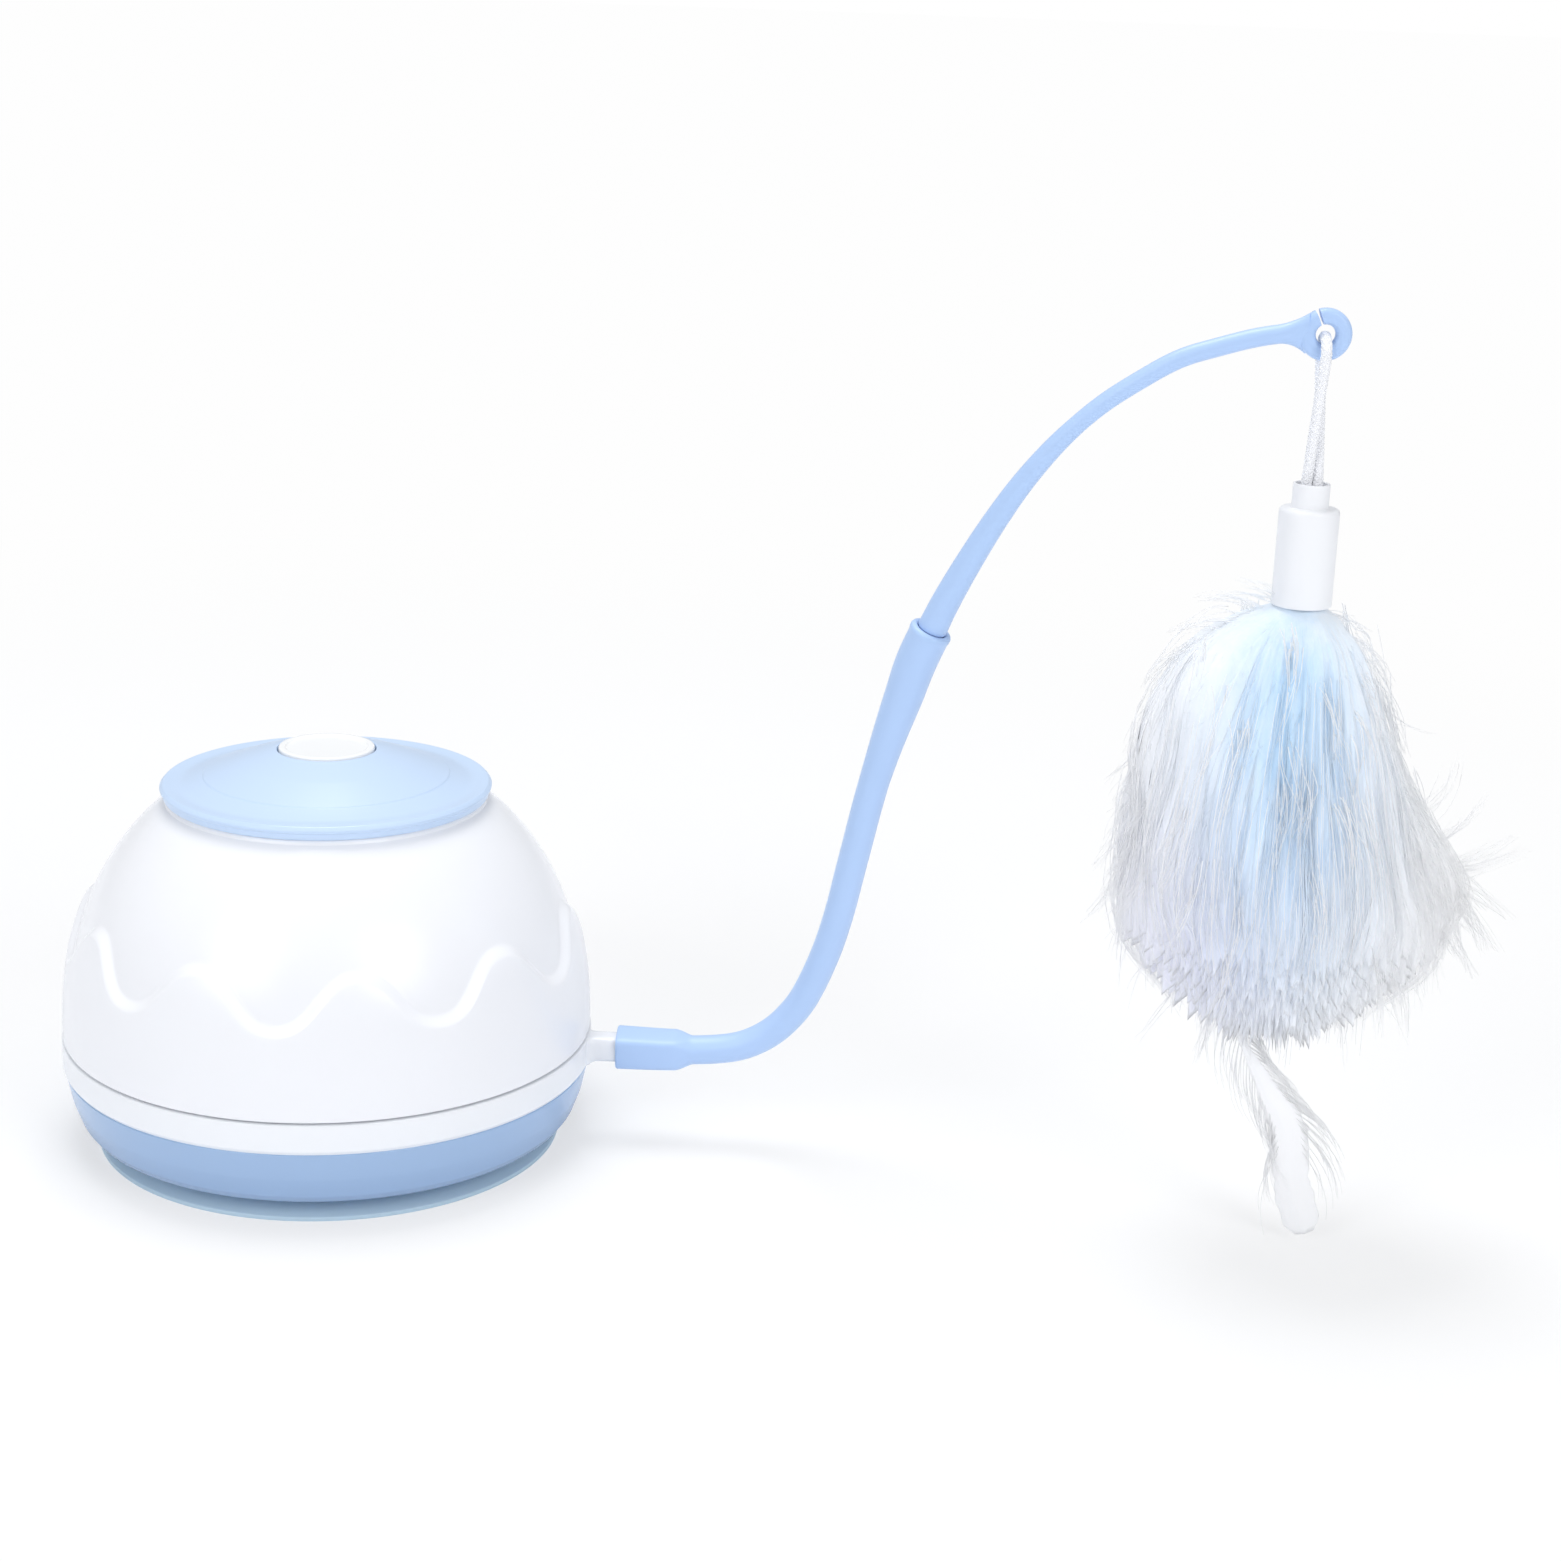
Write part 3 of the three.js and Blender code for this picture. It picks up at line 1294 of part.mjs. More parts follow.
const cordRadius = 1.0;
const cordDrop = 25.8;
const capNeckRadius = 3.25;
const capNeckHeight = 4.3;
const capBoreRadius = 2.75;
const capBoreDepth = 2.9;
const cordSpread = 1.08;
const cordSteps = 24;

const capTop = hookHeight - cordDrop;
const cordEnd = capTop - capBoreDepth + 2 * seatGap;
const loopRadius = eyeThickness / 2 + seatGap + snugGap + cordRadius;
const loopTop = -(eyeHoleRadius - cordRadius - seatGap);

function cordLoop() {
  const points = [];
  const side = (sign) => {
    const fall = [0, 0.04, 0.16, 0.42, 0.72, 1];
    return fall.map((share) => new THREE.Vector3(
      hook.x + sign * cordSpread * (1 - share) ** 0.8,
      hook.y + sign * loopRadius * Math.sin((share * Math.PI) / 2) ** 1.5,
      THREE.MathUtils.lerp(cordEnd, hookHeight + loopTop - loopRadius, share),
    ));
  };
  points.push(...side(-1));
  [-60, -30, 0, 30, 60].forEach((angle) => points.push(new THREE.Vector3(
    hook.x,
    hook.y + loopRadius * Math.sin(angle * degree),
    hookHeight + loopTop - loopRadius + loopRadius * Math.cos(angle * degree),
  )));
  points.push(...side(1).reverse());
  return tubeAlong(points, cordRadius, 8, cordSteps);
}

add('cord_loop', cordLoop(), 0xf4f4fa, 0.8);

// Lure cap: a stepped bell that the cord and the bundled quills are fixed in

const capBodyRadius = 5.3;
const capBodyHeight = 17.4;
const capShoulder = 0.8;
const quillBoreRadius = 4.2;
const quillBoreDepth = 4.0;

const capNeckBottom = capTop - capNeckHeight;
const capBottom = capNeckBottom - capBodyHeight;

add('lure_cap', revolve([
  [0, capBottom + quillBoreDepth],
  [quillBoreRadius, capBottom + quillBoreDepth],
  [quillBoreRadius, capBottom],
  [capBodyRadius, capBottom],
  [capBodyRadius, capNeckBottom - capShoulder],
  [capBodyRadius - capShoulder / 3, capNeckBottom - capShoulder / 3],
  [capBodyRadius - capShoulder, capNeckBottom],
  [capNeckRadius, capNeckBottom],
  [capNeckRadius, capTop - capShoulder / 3],
  [capNeckRadius - capShoulder / 3, capTop],
  [capBoreRadius, capTop],
  [capBoreRadius, capTop - capBoreDepth],
  [0, capTop - capBoreDepth],
], capSegments).translate([hook.x, hook.y, 0]), white, 0.35);

// Feathers: curved blades with a lens section, fanned round the cap's axis

const plumeRoot = 7.5;
const plumeRadius = 24.0;
const plumeLength = 75.0;
const plumeCount = 8;
const plumeLobe = 1.7;
const plumeTips = 13.0;
const plumeThickness = 1.8;
const innerRoot = 2.0;
const innerRadius = 9.5;
const innerLength = 57.0;
const innerCount = 5;
const innerLobe = 1.2;
const innerTips = 8.0;
const tailWidth = 8.0;
const tailThickness = 1.8;
const tailDrift = 11.0;
const tailVaneHeight = 62.0;
const quillRadius = 0.9;
const bindRadius = 8.0;
const bindHeight = 5.0;
const sideReach = 45.0;
const sideDrop = 19.0;
const sideStartShare = 0.3;
const sideRootShare = 0.84;
const otherSideReach = 32.5;
const otherSideDrop = 33.0;
const sideWidth = 13.0;

const plumeTop = capBottom - seatGap;
const plugRadius = quillBoreRadius - seatGap;

// Shares of the plume's radius and length that a quill passes, from its root to its tip.
const quillShares = [[0, 0], [0.42, 0.12], [0.84, 0.34], [1, 0.64], [0.72, 1]];

// A blade along quill points: wide across, thin through, and grown all round by a margin. Its
// section has sharp side edges and a ridge along the quill.
function blade(points, across, widths, thickness, margin) {
  const path = new THREE.CatmullRomCurve3(points);
  const last = points.length - 1;
  return loft(points.map((point, i) => {
    const axis = path.getTangent(i / last);
    const through = new THREE.Vector3().crossVectors(axis, across).normalize();
    const half = widths[i] / 2 + margin;
    const thin = (thickness / 2) * (i === last ? 0.3 : 1) + margin;
    return [[half, 0], [0, thin], [-half, 0], [0, -thin]].map(
      ([u, v]) => point.clone().addScaledVector(across, u).addScaledVector(through, v),
    );
  }));
}

// A bell of feathers side by side: lobed round the axis, hollow, with one tip under each lobe.
function bell(count, rootRadius, radius, length, thickness, lobe, tips) {
  const sides = count * 4;
  const top = plumeTop - bindHeight / 2;
  const ring = ([reach, down], level, inset, drop) => Array.from({ length: sides }, (_, i) => {
    const ridge = Math.cos((i / 4) * fullTurn);
    const out = THREE.MathUtils.lerp(rootRadius, radius, reach) + (level > 0 ? lobe * ridge : 0) - inset;
    const point = planPoint(out, (i / sides) * fullTurn);
    const lift = down ** 4 * (tips / 2) * (1 - ridge);
    return new THREE.Vector3(hook.x + point.x, hook.y + point.y, top - down * length + lift - drop);
  });
  const skin = (inset, drop) => loft(quillShares.map((shares, level) => ring(shares, level, inset, drop)));
  return skin(0, 0).subtract(skin(thickness, thickness));
}

function innerFeathers() {
  const plug = rod(plugRadius, plumeTop - bindHeight, capBottom + quillBoreDepth - seatGap, hook.x, hook.y);
  const plume = bell(innerCount, innerRoot, innerRadius, innerLength, plumeThickness, innerLobe, innerTips);
  return cut(join(plug, plume), tailFeather(seatGap));
}

function tailFeather(margin) {
  const root = capBottom + quillBoreDepth - 2 * seatGap + margin;
  const heights = [root, tailVaneHeight, 0.72, 0.5, 0.28, 0.1, 0];
  const drift = [0, 0.05, 0.12, 0.3, 0.58, 0.86, 1];
  const widths = [0, 0, 0.5, 0.9, 1, 0.9, 0.35];
  const points = heights.map((share, i) => {
    const height = i < 2 ? share : tailTipHeight + share * (tailVaneHeight - tailTipHeight);
    return new THREE.Vector3(hook.x + drift[i] * tailDrift, hook.y, height);
  });
  const width = widths.map((share) => 2 * quillRadius + share * (tailWidth - 2 * quillRadius));
  return blade(points, alongX, width, tailThickness, margin);
}

// A long feather that leaves the bell part of the way down and sweeps out to one side.
function sideFeather(sign, reach, drop) {
  const shares = [[0, 0], [0.3, 0.45], [0.6, 0.85], [0.85, 1], [1, 0.93]];
  const widthShares = [0.6, 0.9, 1, 0.8, 0.1];
  const start = plumeTop - bindHeight / 2 - sideStartShare * plumeLength;
  const points = shares.map(([out, down]) => new THREE.Vector3(
    hook.x + sign * THREE.MathUtils.lerp(plumeRadius * sideRootShare, reach, out),
    hook.y,
    start - down * drop,
  ));
  return blade(points, alongY, widthShares.map((share) => share * sideWidth), plumeThickness, 0);
}

function outerFeathers() {
  const collar = rod(bindRadius, plumeTop - bindHeight, plumeTop, hook.x, hook.y);
  const plume = bell(plumeCount, plumeRoot, plumeRadius, plumeLength, plumeThickness, plumeLobe, plumeTips);
  const sides = [sideFeather(1, sideReach, sideDrop), sideFeather(-1, otherSideReach, otherSideDrop)];
  const boreBottom = plumeTop - bindHeight - cutOverrun;
  const bore = rod(plugRadius + seatGap, boreBottom, plumeTop + cutOverrun, hook.x, hook.y);
  return cut(join(collar, plume, ...sides), bore);
}

add('outer_feathers', outerFeathers(), 0xf3f4fc, 0.9);
add('inner_feathers', innerFeathers(), 0xcfe6f7, 0.9);
add('tail_feather', tailFeather(0), 0xfbfbfd, 0.9);

export default toy;
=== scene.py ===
import math

import bmesh
import bpy
import numpy
from mathutils import Matrix, Vector


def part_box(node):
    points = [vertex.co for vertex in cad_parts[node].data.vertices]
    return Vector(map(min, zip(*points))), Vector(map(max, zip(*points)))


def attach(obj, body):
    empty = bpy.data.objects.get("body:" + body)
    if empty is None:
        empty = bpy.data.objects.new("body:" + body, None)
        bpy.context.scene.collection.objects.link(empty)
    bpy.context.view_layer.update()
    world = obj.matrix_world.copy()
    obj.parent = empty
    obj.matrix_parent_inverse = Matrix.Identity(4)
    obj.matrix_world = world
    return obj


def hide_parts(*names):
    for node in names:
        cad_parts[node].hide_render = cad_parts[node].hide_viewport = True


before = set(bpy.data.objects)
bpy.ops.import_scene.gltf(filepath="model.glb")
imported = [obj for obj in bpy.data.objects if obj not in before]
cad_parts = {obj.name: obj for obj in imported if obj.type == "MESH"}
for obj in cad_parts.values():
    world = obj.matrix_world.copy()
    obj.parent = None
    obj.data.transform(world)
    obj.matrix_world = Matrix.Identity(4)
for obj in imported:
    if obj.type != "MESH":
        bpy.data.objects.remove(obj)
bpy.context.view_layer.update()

mm = 0.001

# Camera
# It looks slightly down on the toy from the front, a little to the right of the dome, so that the
# wand sweeps across the picture and the lure hangs clear of the body.


def placed(name, data):
    """Puts a camera, a lamp or a mesh into the scene as an object of its own."""
    thing = bpy.data.objects.new(name, data)
    bpy.context.collection.objects.link(thing)
    return thing


camera = placed("camera", bpy.data.cameras.new("camera"))
camera.data.sensor_fit = "HORIZONTAL"
camera.data.sensor_width = 36.0
camera.data.lens = 62.04
camera_right = Vector((0.99841, 0.04487, 0.03398))
camera_up = Vector((-0.04525, 0.28076, 0.95871))
camera_back = camera_right.cross(camera_up)
camera_place = Vector((0.10649, -0.50215, 0.22479))
camera.matrix_world = Matrix.Translation(camera_place) @ Matrix(
    (camera_right, camera_up, camera_back)
).transposed().to_4x4()
bpy.context.scene.camera = camera
bpy.context.scene.view_settings.view_transform = "Standard"

# Floor and studio light
# A wide pale table under an even white surround, a soft lamp overhead and a little behind the toy,
# and two soft lamps at the front, so that its sides stay open while its gaps go dark.


def srgb(red, green, blue):
    """A colour written as it shows on a screen, 0 to 255, as linear light."""
    shares = [value / 255 for value in (red, green, blue)]
    linear = [s / 12.92 if s <= 0.04045 else ((s + 0.055) / 1.055) ** 2.4 for s in shares]
    return (*linear, 1.0)


def node_maker(tree):
    """Empties a node tree, and gives a short way to add a node with its inputs and settings."""
    tree.nodes.clear()

    def node(kind, inputs=None, **settings):
        made = tree.nodes.new("ShaderNode" + kind)
        for key, value in settings.items():
            setattr(made, key, value)
        for key, value in (inputs or {}).items():
            if isinstance(value, bpy.types.NodeSocket):
                tree.links.new(value, made.inputs[key])
            else:
                made.inputs[key].default_value = value
        return made

    return node


def node_material(name):
    """A new material, the way to add its nodes, and each point's place on its piece."""
    material = bpy.data.materials.new(name)
    material.use_nodes = True
    node = node_maker(material.node_tree)
    return material, node, node("TexCoord").outputs["Object"]


def floor_material():
    """Matt off-white by the toy; further out the eye sees it pass into the white surround."""
    material, node, where = node_material("studio_table")
    mottle = node("TexNoise", {"Vector": where, "Scale": 9.0, "Detail": 3.0})
    paint = node("ValToRGB", {"Fac": mottle.outputs["Fac"]})
    paint.color_ramp.elements[0].color = srgb(246, 247, 249)
    paint.color_ramp.elements[1].color = srgb(251, 251, 252)
    matt = node("BsdfDiffuse", {"Color": paint.outputs["Color"], "Roughness": 0.6})
    glow = node("Emission", {"Color": (1.0, 1.0, 1.0, 1.0), "Strength": 0.99})
    seen = node("LightPath").outputs["Is Camera Ray"]
    distance = node("VectorMath", {0: where}, operation="LENGTH")
    whiteness = node("MapRange", {
        "Value": distance.outputs["Value"],
        "From Min": 0.16,
        "From Max": 0.6,
        "To Min": 0.55,
        "To Max": 1.0,
    }, interpolation_type="SMOOTHSTEP")
    share = node("Math", {0: seen, 1: whiteness.outputs["Result"]}, operation="MULTIPLY")
    mix = node("MixShader", {0: share.outputs[0], 1: matt.outputs[0], 2: glow.outputs[0]})
    node("OutputMaterial", {"Surface": mix.outputs[0]})
    return material


floor_reach = 30.0
floor_corners = [(x * floor_reach, y * floor_reach, 0) for x, y in ((-1, -1), (1, -1), (1, 1), (-1, 1))]
floor_mesh = bpy.data.meshes.new("floor")
floor_mesh.from_pydata(floor_corners, [], [(0, 1, 2, 3)])
floor = placed("floor", floor_mesh)
floor.data.materials.append(floor_material())


def white_surround(lighting_strength):
    """White to the eye and through clear pieces; the given strength as a lamp."""
    world = bpy.data.worlds.new("surround")
    bpy.context.scene.world = world
    world.use_nodes = True
    node = node_maker(world.node_tree)
    path = node("LightPath").outputs
    direct = node("Math", {0: path["Is Camera Ray"], 1: path["Is Transmission Ray"]}, operation="MAXIMUM")
    lamp = node("Background", {"Color": (0.955, 0.975, 1.0, 1.0), "Strength": lighting_strength})
    white = node("Background", {"Color": (1.0, 1.0, 1.0, 1.0), "Strength": 1.0})
    mix = node("MixShader", {0: direct.outputs[0], 1: lamp.outputs[0], 2: white.outputs[0]})
    node("OutputWorld", {"Surface": mix.outputs[0]})


def soft_lamp(name, place, aim, power, width=0.5):
    lamp = placed(name, bpy.data.lights.new(name, "AREA"))
    lamp.data.shape = "SQUARE"
    lamp.data.size = width
    lamp.data.energy = power
    lamp.location = place
    lamp.rotation_mode = "QUATERNION"
    lamp.rotation_quaternion = (Vector(aim) - Vector(place)).to_track_quat("-Z", "Y")


white_surround(0.5)
soft_lamp("overhead_lamp", (-0.05, 0.14, 1.12), (0.05, 0, 0), 5.6)
soft_lamp("front_left_lamp", (-0.5, -0.85, 0.55), (0.03, 0, 0.05), 2.5)
soft_lamp("front_right_lamp", (0.7, -0.75, 0.55), (0.1, 0, 0.07), 2.5)

# Suction cup
# One moulding of soft translucent blue rubber: a thin bell with a flat sealing lip, and a stem
# whose bead snaps through the hole in the bowl's floor.


def rounded(corners):
    """Profile points from corners of (radius, height, fillet), each fillet a small arc."""
    arc_steps = 5
    most_of_a_side = 0.48
    points = []
    for i, (radius, height, fillet) in enumerate(corners):
        corner = Vector((radius, height))
        before = Vector(corners[i - 1][:2]) - corner
        after = Vector(corners[(i + 1) % len(corners)][:2]) - corner
        if fillet <= 0 or before.length == 0 or after.length == 0:
            points.append(corner)
            continue
        turn = before.angle(after)
        shorter_side = min(before.length, after.length)
        reach = min(fillet / math.tan(turn / 2), shorter_side * most_of_a_side)
        start = corner + before.normalized() * reach
        end = corner + after.normalized() * reach
        for k in range(arc_steps + 1):
            share = k / arc_steps
            points.append(start * (1 - share) ** 2 + corner * 2 * share * (1 - share) + end * share ** 2)
    return points


def shade_smooth(mesh, sharp_degrees=38.0):
    """Smooth shading, but for edges sharper than the angle."""
    mesh.polygons.foreach_set("use_smooth", [True] * len(mesh.polygons))
    mesh.set_sharp_from_angle(angle=math.radians(sharp_degrees))


def piece_from(name, points, faces, sharp_degrees=38.0):
    """A piece from points and faces, with the faces turned outward."""
    mesh = bpy.data.meshes.new(name)
    mesh.from_pydata([tuple(p) for p in points], [], faces)
    work = bmesh.new()
    work.from_mesh(mesh)
    bmesh.ops.recalc_face_normals(work, faces=work.faces)
    work.to_mesh(mesh)
    work.free()
    shade_smooth(mesh, sharp_degrees)
    return placed(name, mesh)


def turned(name, corners, centre=(0.0, 0.0), segments=192):
    """A closed solid of revolution about a vertical axis, from corners in order round its section."""
    points, faces, rings = [], [], []
    on_axis = 1e-7
    for radius, height in rounded(corners):
        if radius < on_axis:
            rings.append([len(points)])
            points.append((centre[0], centre[1], height))
            continue
        rings.append(range(len(points), len(points) + segments))
        for i in range(segments):
            angle = 2 * math.pi * i / segments
            across, deep = radius * math.cos(angle), radius * math.sin(angle)
            points.append((centre[0] + across, centre[1] + deep, height))
    for a, b in zip(rings, rings[1:] + rings[:1]):
        if len(a) == 1 and len(b) == 1:
            continue
        for i in range(segments):
            j = (i + 1) % segments
            if len(a) == 1:
                faces.append((a[0], b[j], b[i]))
            elif len(b) == 1:
                faces.append((a[i], a[j], b[0]))
            else:
                faces.append((a[i], a[j], b[j], b[i]))
    return piece_from(name, points, faces)


def spread_between(node, low, high, noise):
    """A noise's values, spread from a low limit to a high one."""
    spread = node("MapRange", {"Value": noise.outputs["Fac"], "To Min": low, "To Max": high})
    return spread.outputs["Result"]


def scaled_colour(node, shade, share):
    """A shade made darker or lighter by a share that changes over the piece."""
    return node("VectorMath", {0: shade[:3], "Scale": share}, operation="SCALE").outputs["Vector"]


def bumpy(node, noise, strength, depth):
    """The surface's directions under a fine relief of a depth in metres."""
    skin = node("Bump", {"Height": noise.outputs["Fac"], "Strength": strength, "Distance": depth})
    return skin.outputs["Normal"]


def moulded(name, shade, roughness, grain=0.3, coat=0.0, milk=0.0, drift=0.02):
    """Moulded plastic or rubber: slow drift in colour and gloss, and a fine grain in the skin.

    Coat is a glossy outer skin, and milk the share of light that soaks in.
    """
    material, node, where = node_material(name)
    slow = node("TexNoise", {"Vector": where, "Scale": 38.0, "Detail": 3.0, "Roughness": 0.55})
    fine = node("TexNoise", {"Vector": where, "Scale": 5200.0, "Detail": 2.0, "Roughness": 0.6})
    plastic = node("BsdfPrincipled", {
        "Base Color": scaled_colour(node, shade, spread_between(node, 1.0 - drift, 1.0, slow)),
        "Roughness": spread_between(node, roughness * 0.9, roughness * 1.12, slow),
        "Normal": bumpy(node, fine, grain, 0.00003),
        "IOR": 1.49,
        "Coat Weight": coat,
        "Coat Roughness": 0.04,
        "Subsurface Weight": milk,
        "Subsurface Radius": (0.004, 0.004, 0.005),
        "Subsurface Scale": 0.6,
    })
    node("OutputMaterial", {"Surface": plastic.outputs[0]})
    return material


def finish_piece(piece, material, body, slot, *nodes):
    """Gives a new piece its material and body, and hides the nodes that it stands for; the slot is not used.
    """
    piece.data.materials.clear()
    piece.data.materials.append(material)
    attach(piece, body)
    if nodes:
        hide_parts(*nodes)


cup_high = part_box("suction_cup")[1]
cup_radius = cup_high.y
lip = 0.7 * mm
lip_width = 3.0 * mm
bell_depth = 3.4 * mm
bell_shoulder = 4.75 * mm
bell_edge = 2.35 * mm
pad_top = 6.35 * mm
neck_radius = 6.5 * mm
bead_radius = 8.2 * mm
bead_bottom = 8.95 * mm
stem_hollow = 3.0 * mm

suction_cup = turned("rubber_suction_cup", [
    (0, bead_bottom, 0),
    (stem_hollow, bead_bottom, 0),
    (stem_hollow, cup_high.z, 0.3 * mm),
    (neck_radius, cup_high.z, 0.3 * mm),
    (bead_radius, (bead_bottom + cup_high.z) / 2, 0.8 * mm),
    (bead_radius, bead_bottom, 0.3 * mm),
    (neck_radius, bead_bottom, 0.2 * mm),
    (neck_radius, pad_top, 0.2 * mm),
    (2 * neck_radius, pad_top, 1.5 * mm),
    (cup_radius * 0.66, bell_shoulder, 14 * mm),
    (cup_radius * 0.9, bell_edge, 6 * mm),
    (cup_radius, lip * 1.15, 0.3 * mm),
    (cup_radius, 0, 0.15 * mm),
    (cup_radius - lip_width, 0, 0.8 * mm),
    (cup_radius * 0.8, bell_depth * 0.35, 5 * mm),
    (cup_radius / 2, bell_depth * 0.8, 10 * mm),
    (0, bell_depth, 0),
])
cup_rubber = moulded("cup_rubber", srgb(210, 235, 252), 0.32, grain=0.2, milk=0.1)
finish_piece(suction_cup, cup_rubber, "housing", "cup_blue", "suction_cup")

# Base bowl
# Glossy blue moulding with a rounded foot, a recessed floor, the track that the ring runs on,
# and the opening for the charging plug at the back.


def carve(piece, cutter, operation="DIFFERENCE", sharp_degrees=38.0):
    """Cuts a helper shape out of a piece, or joins it in, and drops the helper."""
    change = piece.modifiers.new("carve", "BOOLEAN")
    change.operation = operation
    change.solver = "EXACT"
    change.object = cutter
    evaluated = piece.evaluated_get(bpy.context.evaluated_depsgraph_get())
    mesh = bpy.data.meshes.new_from_object(evaluated)
    piece.modifiers.clear()
    piece.data = mesh
    bpy.data.objects.remove(cutter)
    shade_smooth(mesh, sharp_degrees)


def superellipse(half_a, half_b, power, count):
    """Points round a rounded rectangle; a power of 2 is an ellipse."""
    points = []
    for i in range(count):
        angle = 2 * math.pi * (i + 0.5) / count
        c, s = math.cos(angle), math.sin(angle)
        points.append((
            half_a * math.copysign(abs(c) ** (2 / power), c),
            half_b * math.copysign(abs(s) ** (2 / power), s),
        ))
    return points


def skin_over(name, rings, sharp_degrees=38.0, close=False):
    """A closed skin over rings of as many points; both ends are capped, or the last meets the first."""
    count = len(rings[0])
    points = [p for ring in rings for p in ring]
    faces = []
    pairs = list(zip(range(len(rings) - 1), range(1, len(rings))))
    if close:
        pairs.append((len(rings) - 1, 0))
    for a, b in pairs:
        for i in range(count):
            j = (i + 1) % count
            faces.append((a * count + i, a * count + j, b * count + j, b * count + i))
    if not close:
        faces.append(tuple(reversed(range(count))))
        faces.append(tuple(range((len(rings) - 1) * count, len(rings) * count)))
    return piece_from(name, points, faces, sharp_degrees)


bowl_low, bowl_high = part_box("base_bowl")
rim_radius = bowl_high.x
rim_height = 16.2 * mm
foot_radius = 48.6 * mm
foot_corner = 1.6 * mm
floor_under = bowl_low.z + foot_corner
floor_over = 8.65 * mm
rim_wall = 2.1 * mm
stem_hole = 6.8 * mm
track_inner = 46.3 * mm
track_outer = 48.3 * mm
groove_floor = (floor_over + rim_height) / 2

base_bowl = turned("base_bowl_moulding", [
    (stem_hole, floor_under, 0.3 * mm),
    (foot_radius - 3.8 * mm, floor_under, 0.5 * mm),
    (foot_radius - 3.0 * mm, bowl_low.z, 0.6 * mm),
    (foot_radius - 0.4 * mm, bowl_low.z, 0.9 * mm),
    (foot_radius + 0.8 * mm, floor_under, 1.6 * mm),
    ((foot_radius + 2 * rim_radius) / 3, (bowl_low.z + rim_height) / 2, 6.0 * mm),
    (rim_radius, rim_height, 0.35 * mm),
    (rim_radius - rim_wall, rim_height, 0.2 * mm),
    (rim_radius - rim_wall, groove_floor, 0.4 * mm),
    (track_outer, groove_floor, 0.4 * mm),
    (track_outer, bowl_high.z, 0.3 * mm),
    (track_inner, bowl_high.z, 0.3 * mm),
    (track_inner, floor_over, 0.8 * mm),
    (stem_hole, floor_over, 0.3 * mm),
])

socket_low, socket_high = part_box("usb_socket")
socket_middle = (socket_low.z + socket_high.z) / 2
port_margin = 0.4 * mm
port_power = 3.2
port_half_width = (socket_high.x - socket_low.x) / 2 + port_margin
port_half_height = (socket_high.z - socket_low.z) / 2 + port_margin
port = skin_over("port", [
    [(u, y, socket_middle + v) for u, v in superellipse(port_half_width, port_half_height, port_power, 48)]
    for y in (track_inner - 1 * mm, rim_radius + 2 * mm)
])
carve(base_bowl, port)
bowl_plastic = moulded("bowl_plastic", srgb(160, 188, 224), 0.2, grain=0.12, coat=0.25)
finish_piece(base_bowl, bowl_plastic, "housing", "bowl_blue", "base_bowl")

# Charging socket
# A drawn steel shell with its rounded mouth and the contact tongue inside; it keeps the frame's
# own shape and takes brushed nickel.


def metal(name, shade, roughness, stretch=(40.0, 900.0, 40.0)):
    """Drawn or turned metal: fine lines along the way it was worked."""
    material, node, where = node_material(name)
    along = node("Mapping", {"Vector": where, "Scale": stretch})
    lines = node("TexNoise", {"Vector": along.outputs["Vector"], "Scale": 14.0, "Detail": 4.0})
    body = node("BsdfPrincipled", {
        "Base Color": shade,
        "Metallic": 1.0,
        "Roughness": spread_between(node, roughness * 0.75, roughness * 1.3, lines),
        "Normal": bumpy(node, lines, 0.2, 0.00002),
    })
    node("OutputMaterial", {"Surface": body.outputs[0]})
    return material


def dress(material, *names):
    """Gives frame nodes whose shape is right a better material."""
    for name in names:
        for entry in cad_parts[name].material_slots:
            entry.link = "OBJECT"
            entry.material = material


dress(metal("nickel_shell", srgb(203, 205, 209), 0.26), "usb_socket")

# Inside parts
# Circuit boards, battery, motor, gear train, leads and screws keep the frame's shapes; the
# housings hide them, and each takes the finish of the real part.


def circuit_board(name):
    """Solder mask over copper tracks that run along and across the board."""
    material, node, where = node_material(name)
    tracks = node("TexBrick", {
        "Vector": where,
        "Scale": 420.0,
        "Mortar Size": 0.06,
        "Color1": srgb(38, 106, 66),
        "Color2": srgb(44, 116, 72),
        "Mortar": srgb(72, 142, 88),
    })
    board = node("BsdfPrincipled", {
        "Base Color": tracks.outputs["Color"],
        "Roughness": 0.38,
        "Normal": bumpy(node, tracks, 0.3, 0.00005),
    })
    node("OutputMaterial", {"Surface": board.outputs[0]})
    return material


dress(circuit_board("solder_mask"), "main_board", "switch_board")
dress(moulded("shrink_wrap", srgb(122, 142, 168), 0.3, grain=0.5, drift=0.08), "battery_pack")
acetal_parts = ("chassis_plate", "gear_cover", "idler_gear", "output_gear", "drive_pinion", "motor_pinion")
dress(moulded("acetal", srgb(236, 232, 220), 0.42), *acetal_parts)
dress(metal("motor_steel", srgb(188, 190, 194), 0.32, (900.0, 900.0, 60.0)), "motor_can")
dress(moulded("end_cap_nylon", srgb(240, 240, 236), 0.5), "motor_end_cap")
ground_steel = metal("ground_steel", srgb(200, 202, 206), 0.18, (900.0, 900.0, 40.0))
dress(ground_steel, "motor_shaft", "idler_pin", "output_shaft")
dress(moulded("switch_black", srgb(36, 38, 42), 0.36), "switch_body", "switch_plunger")
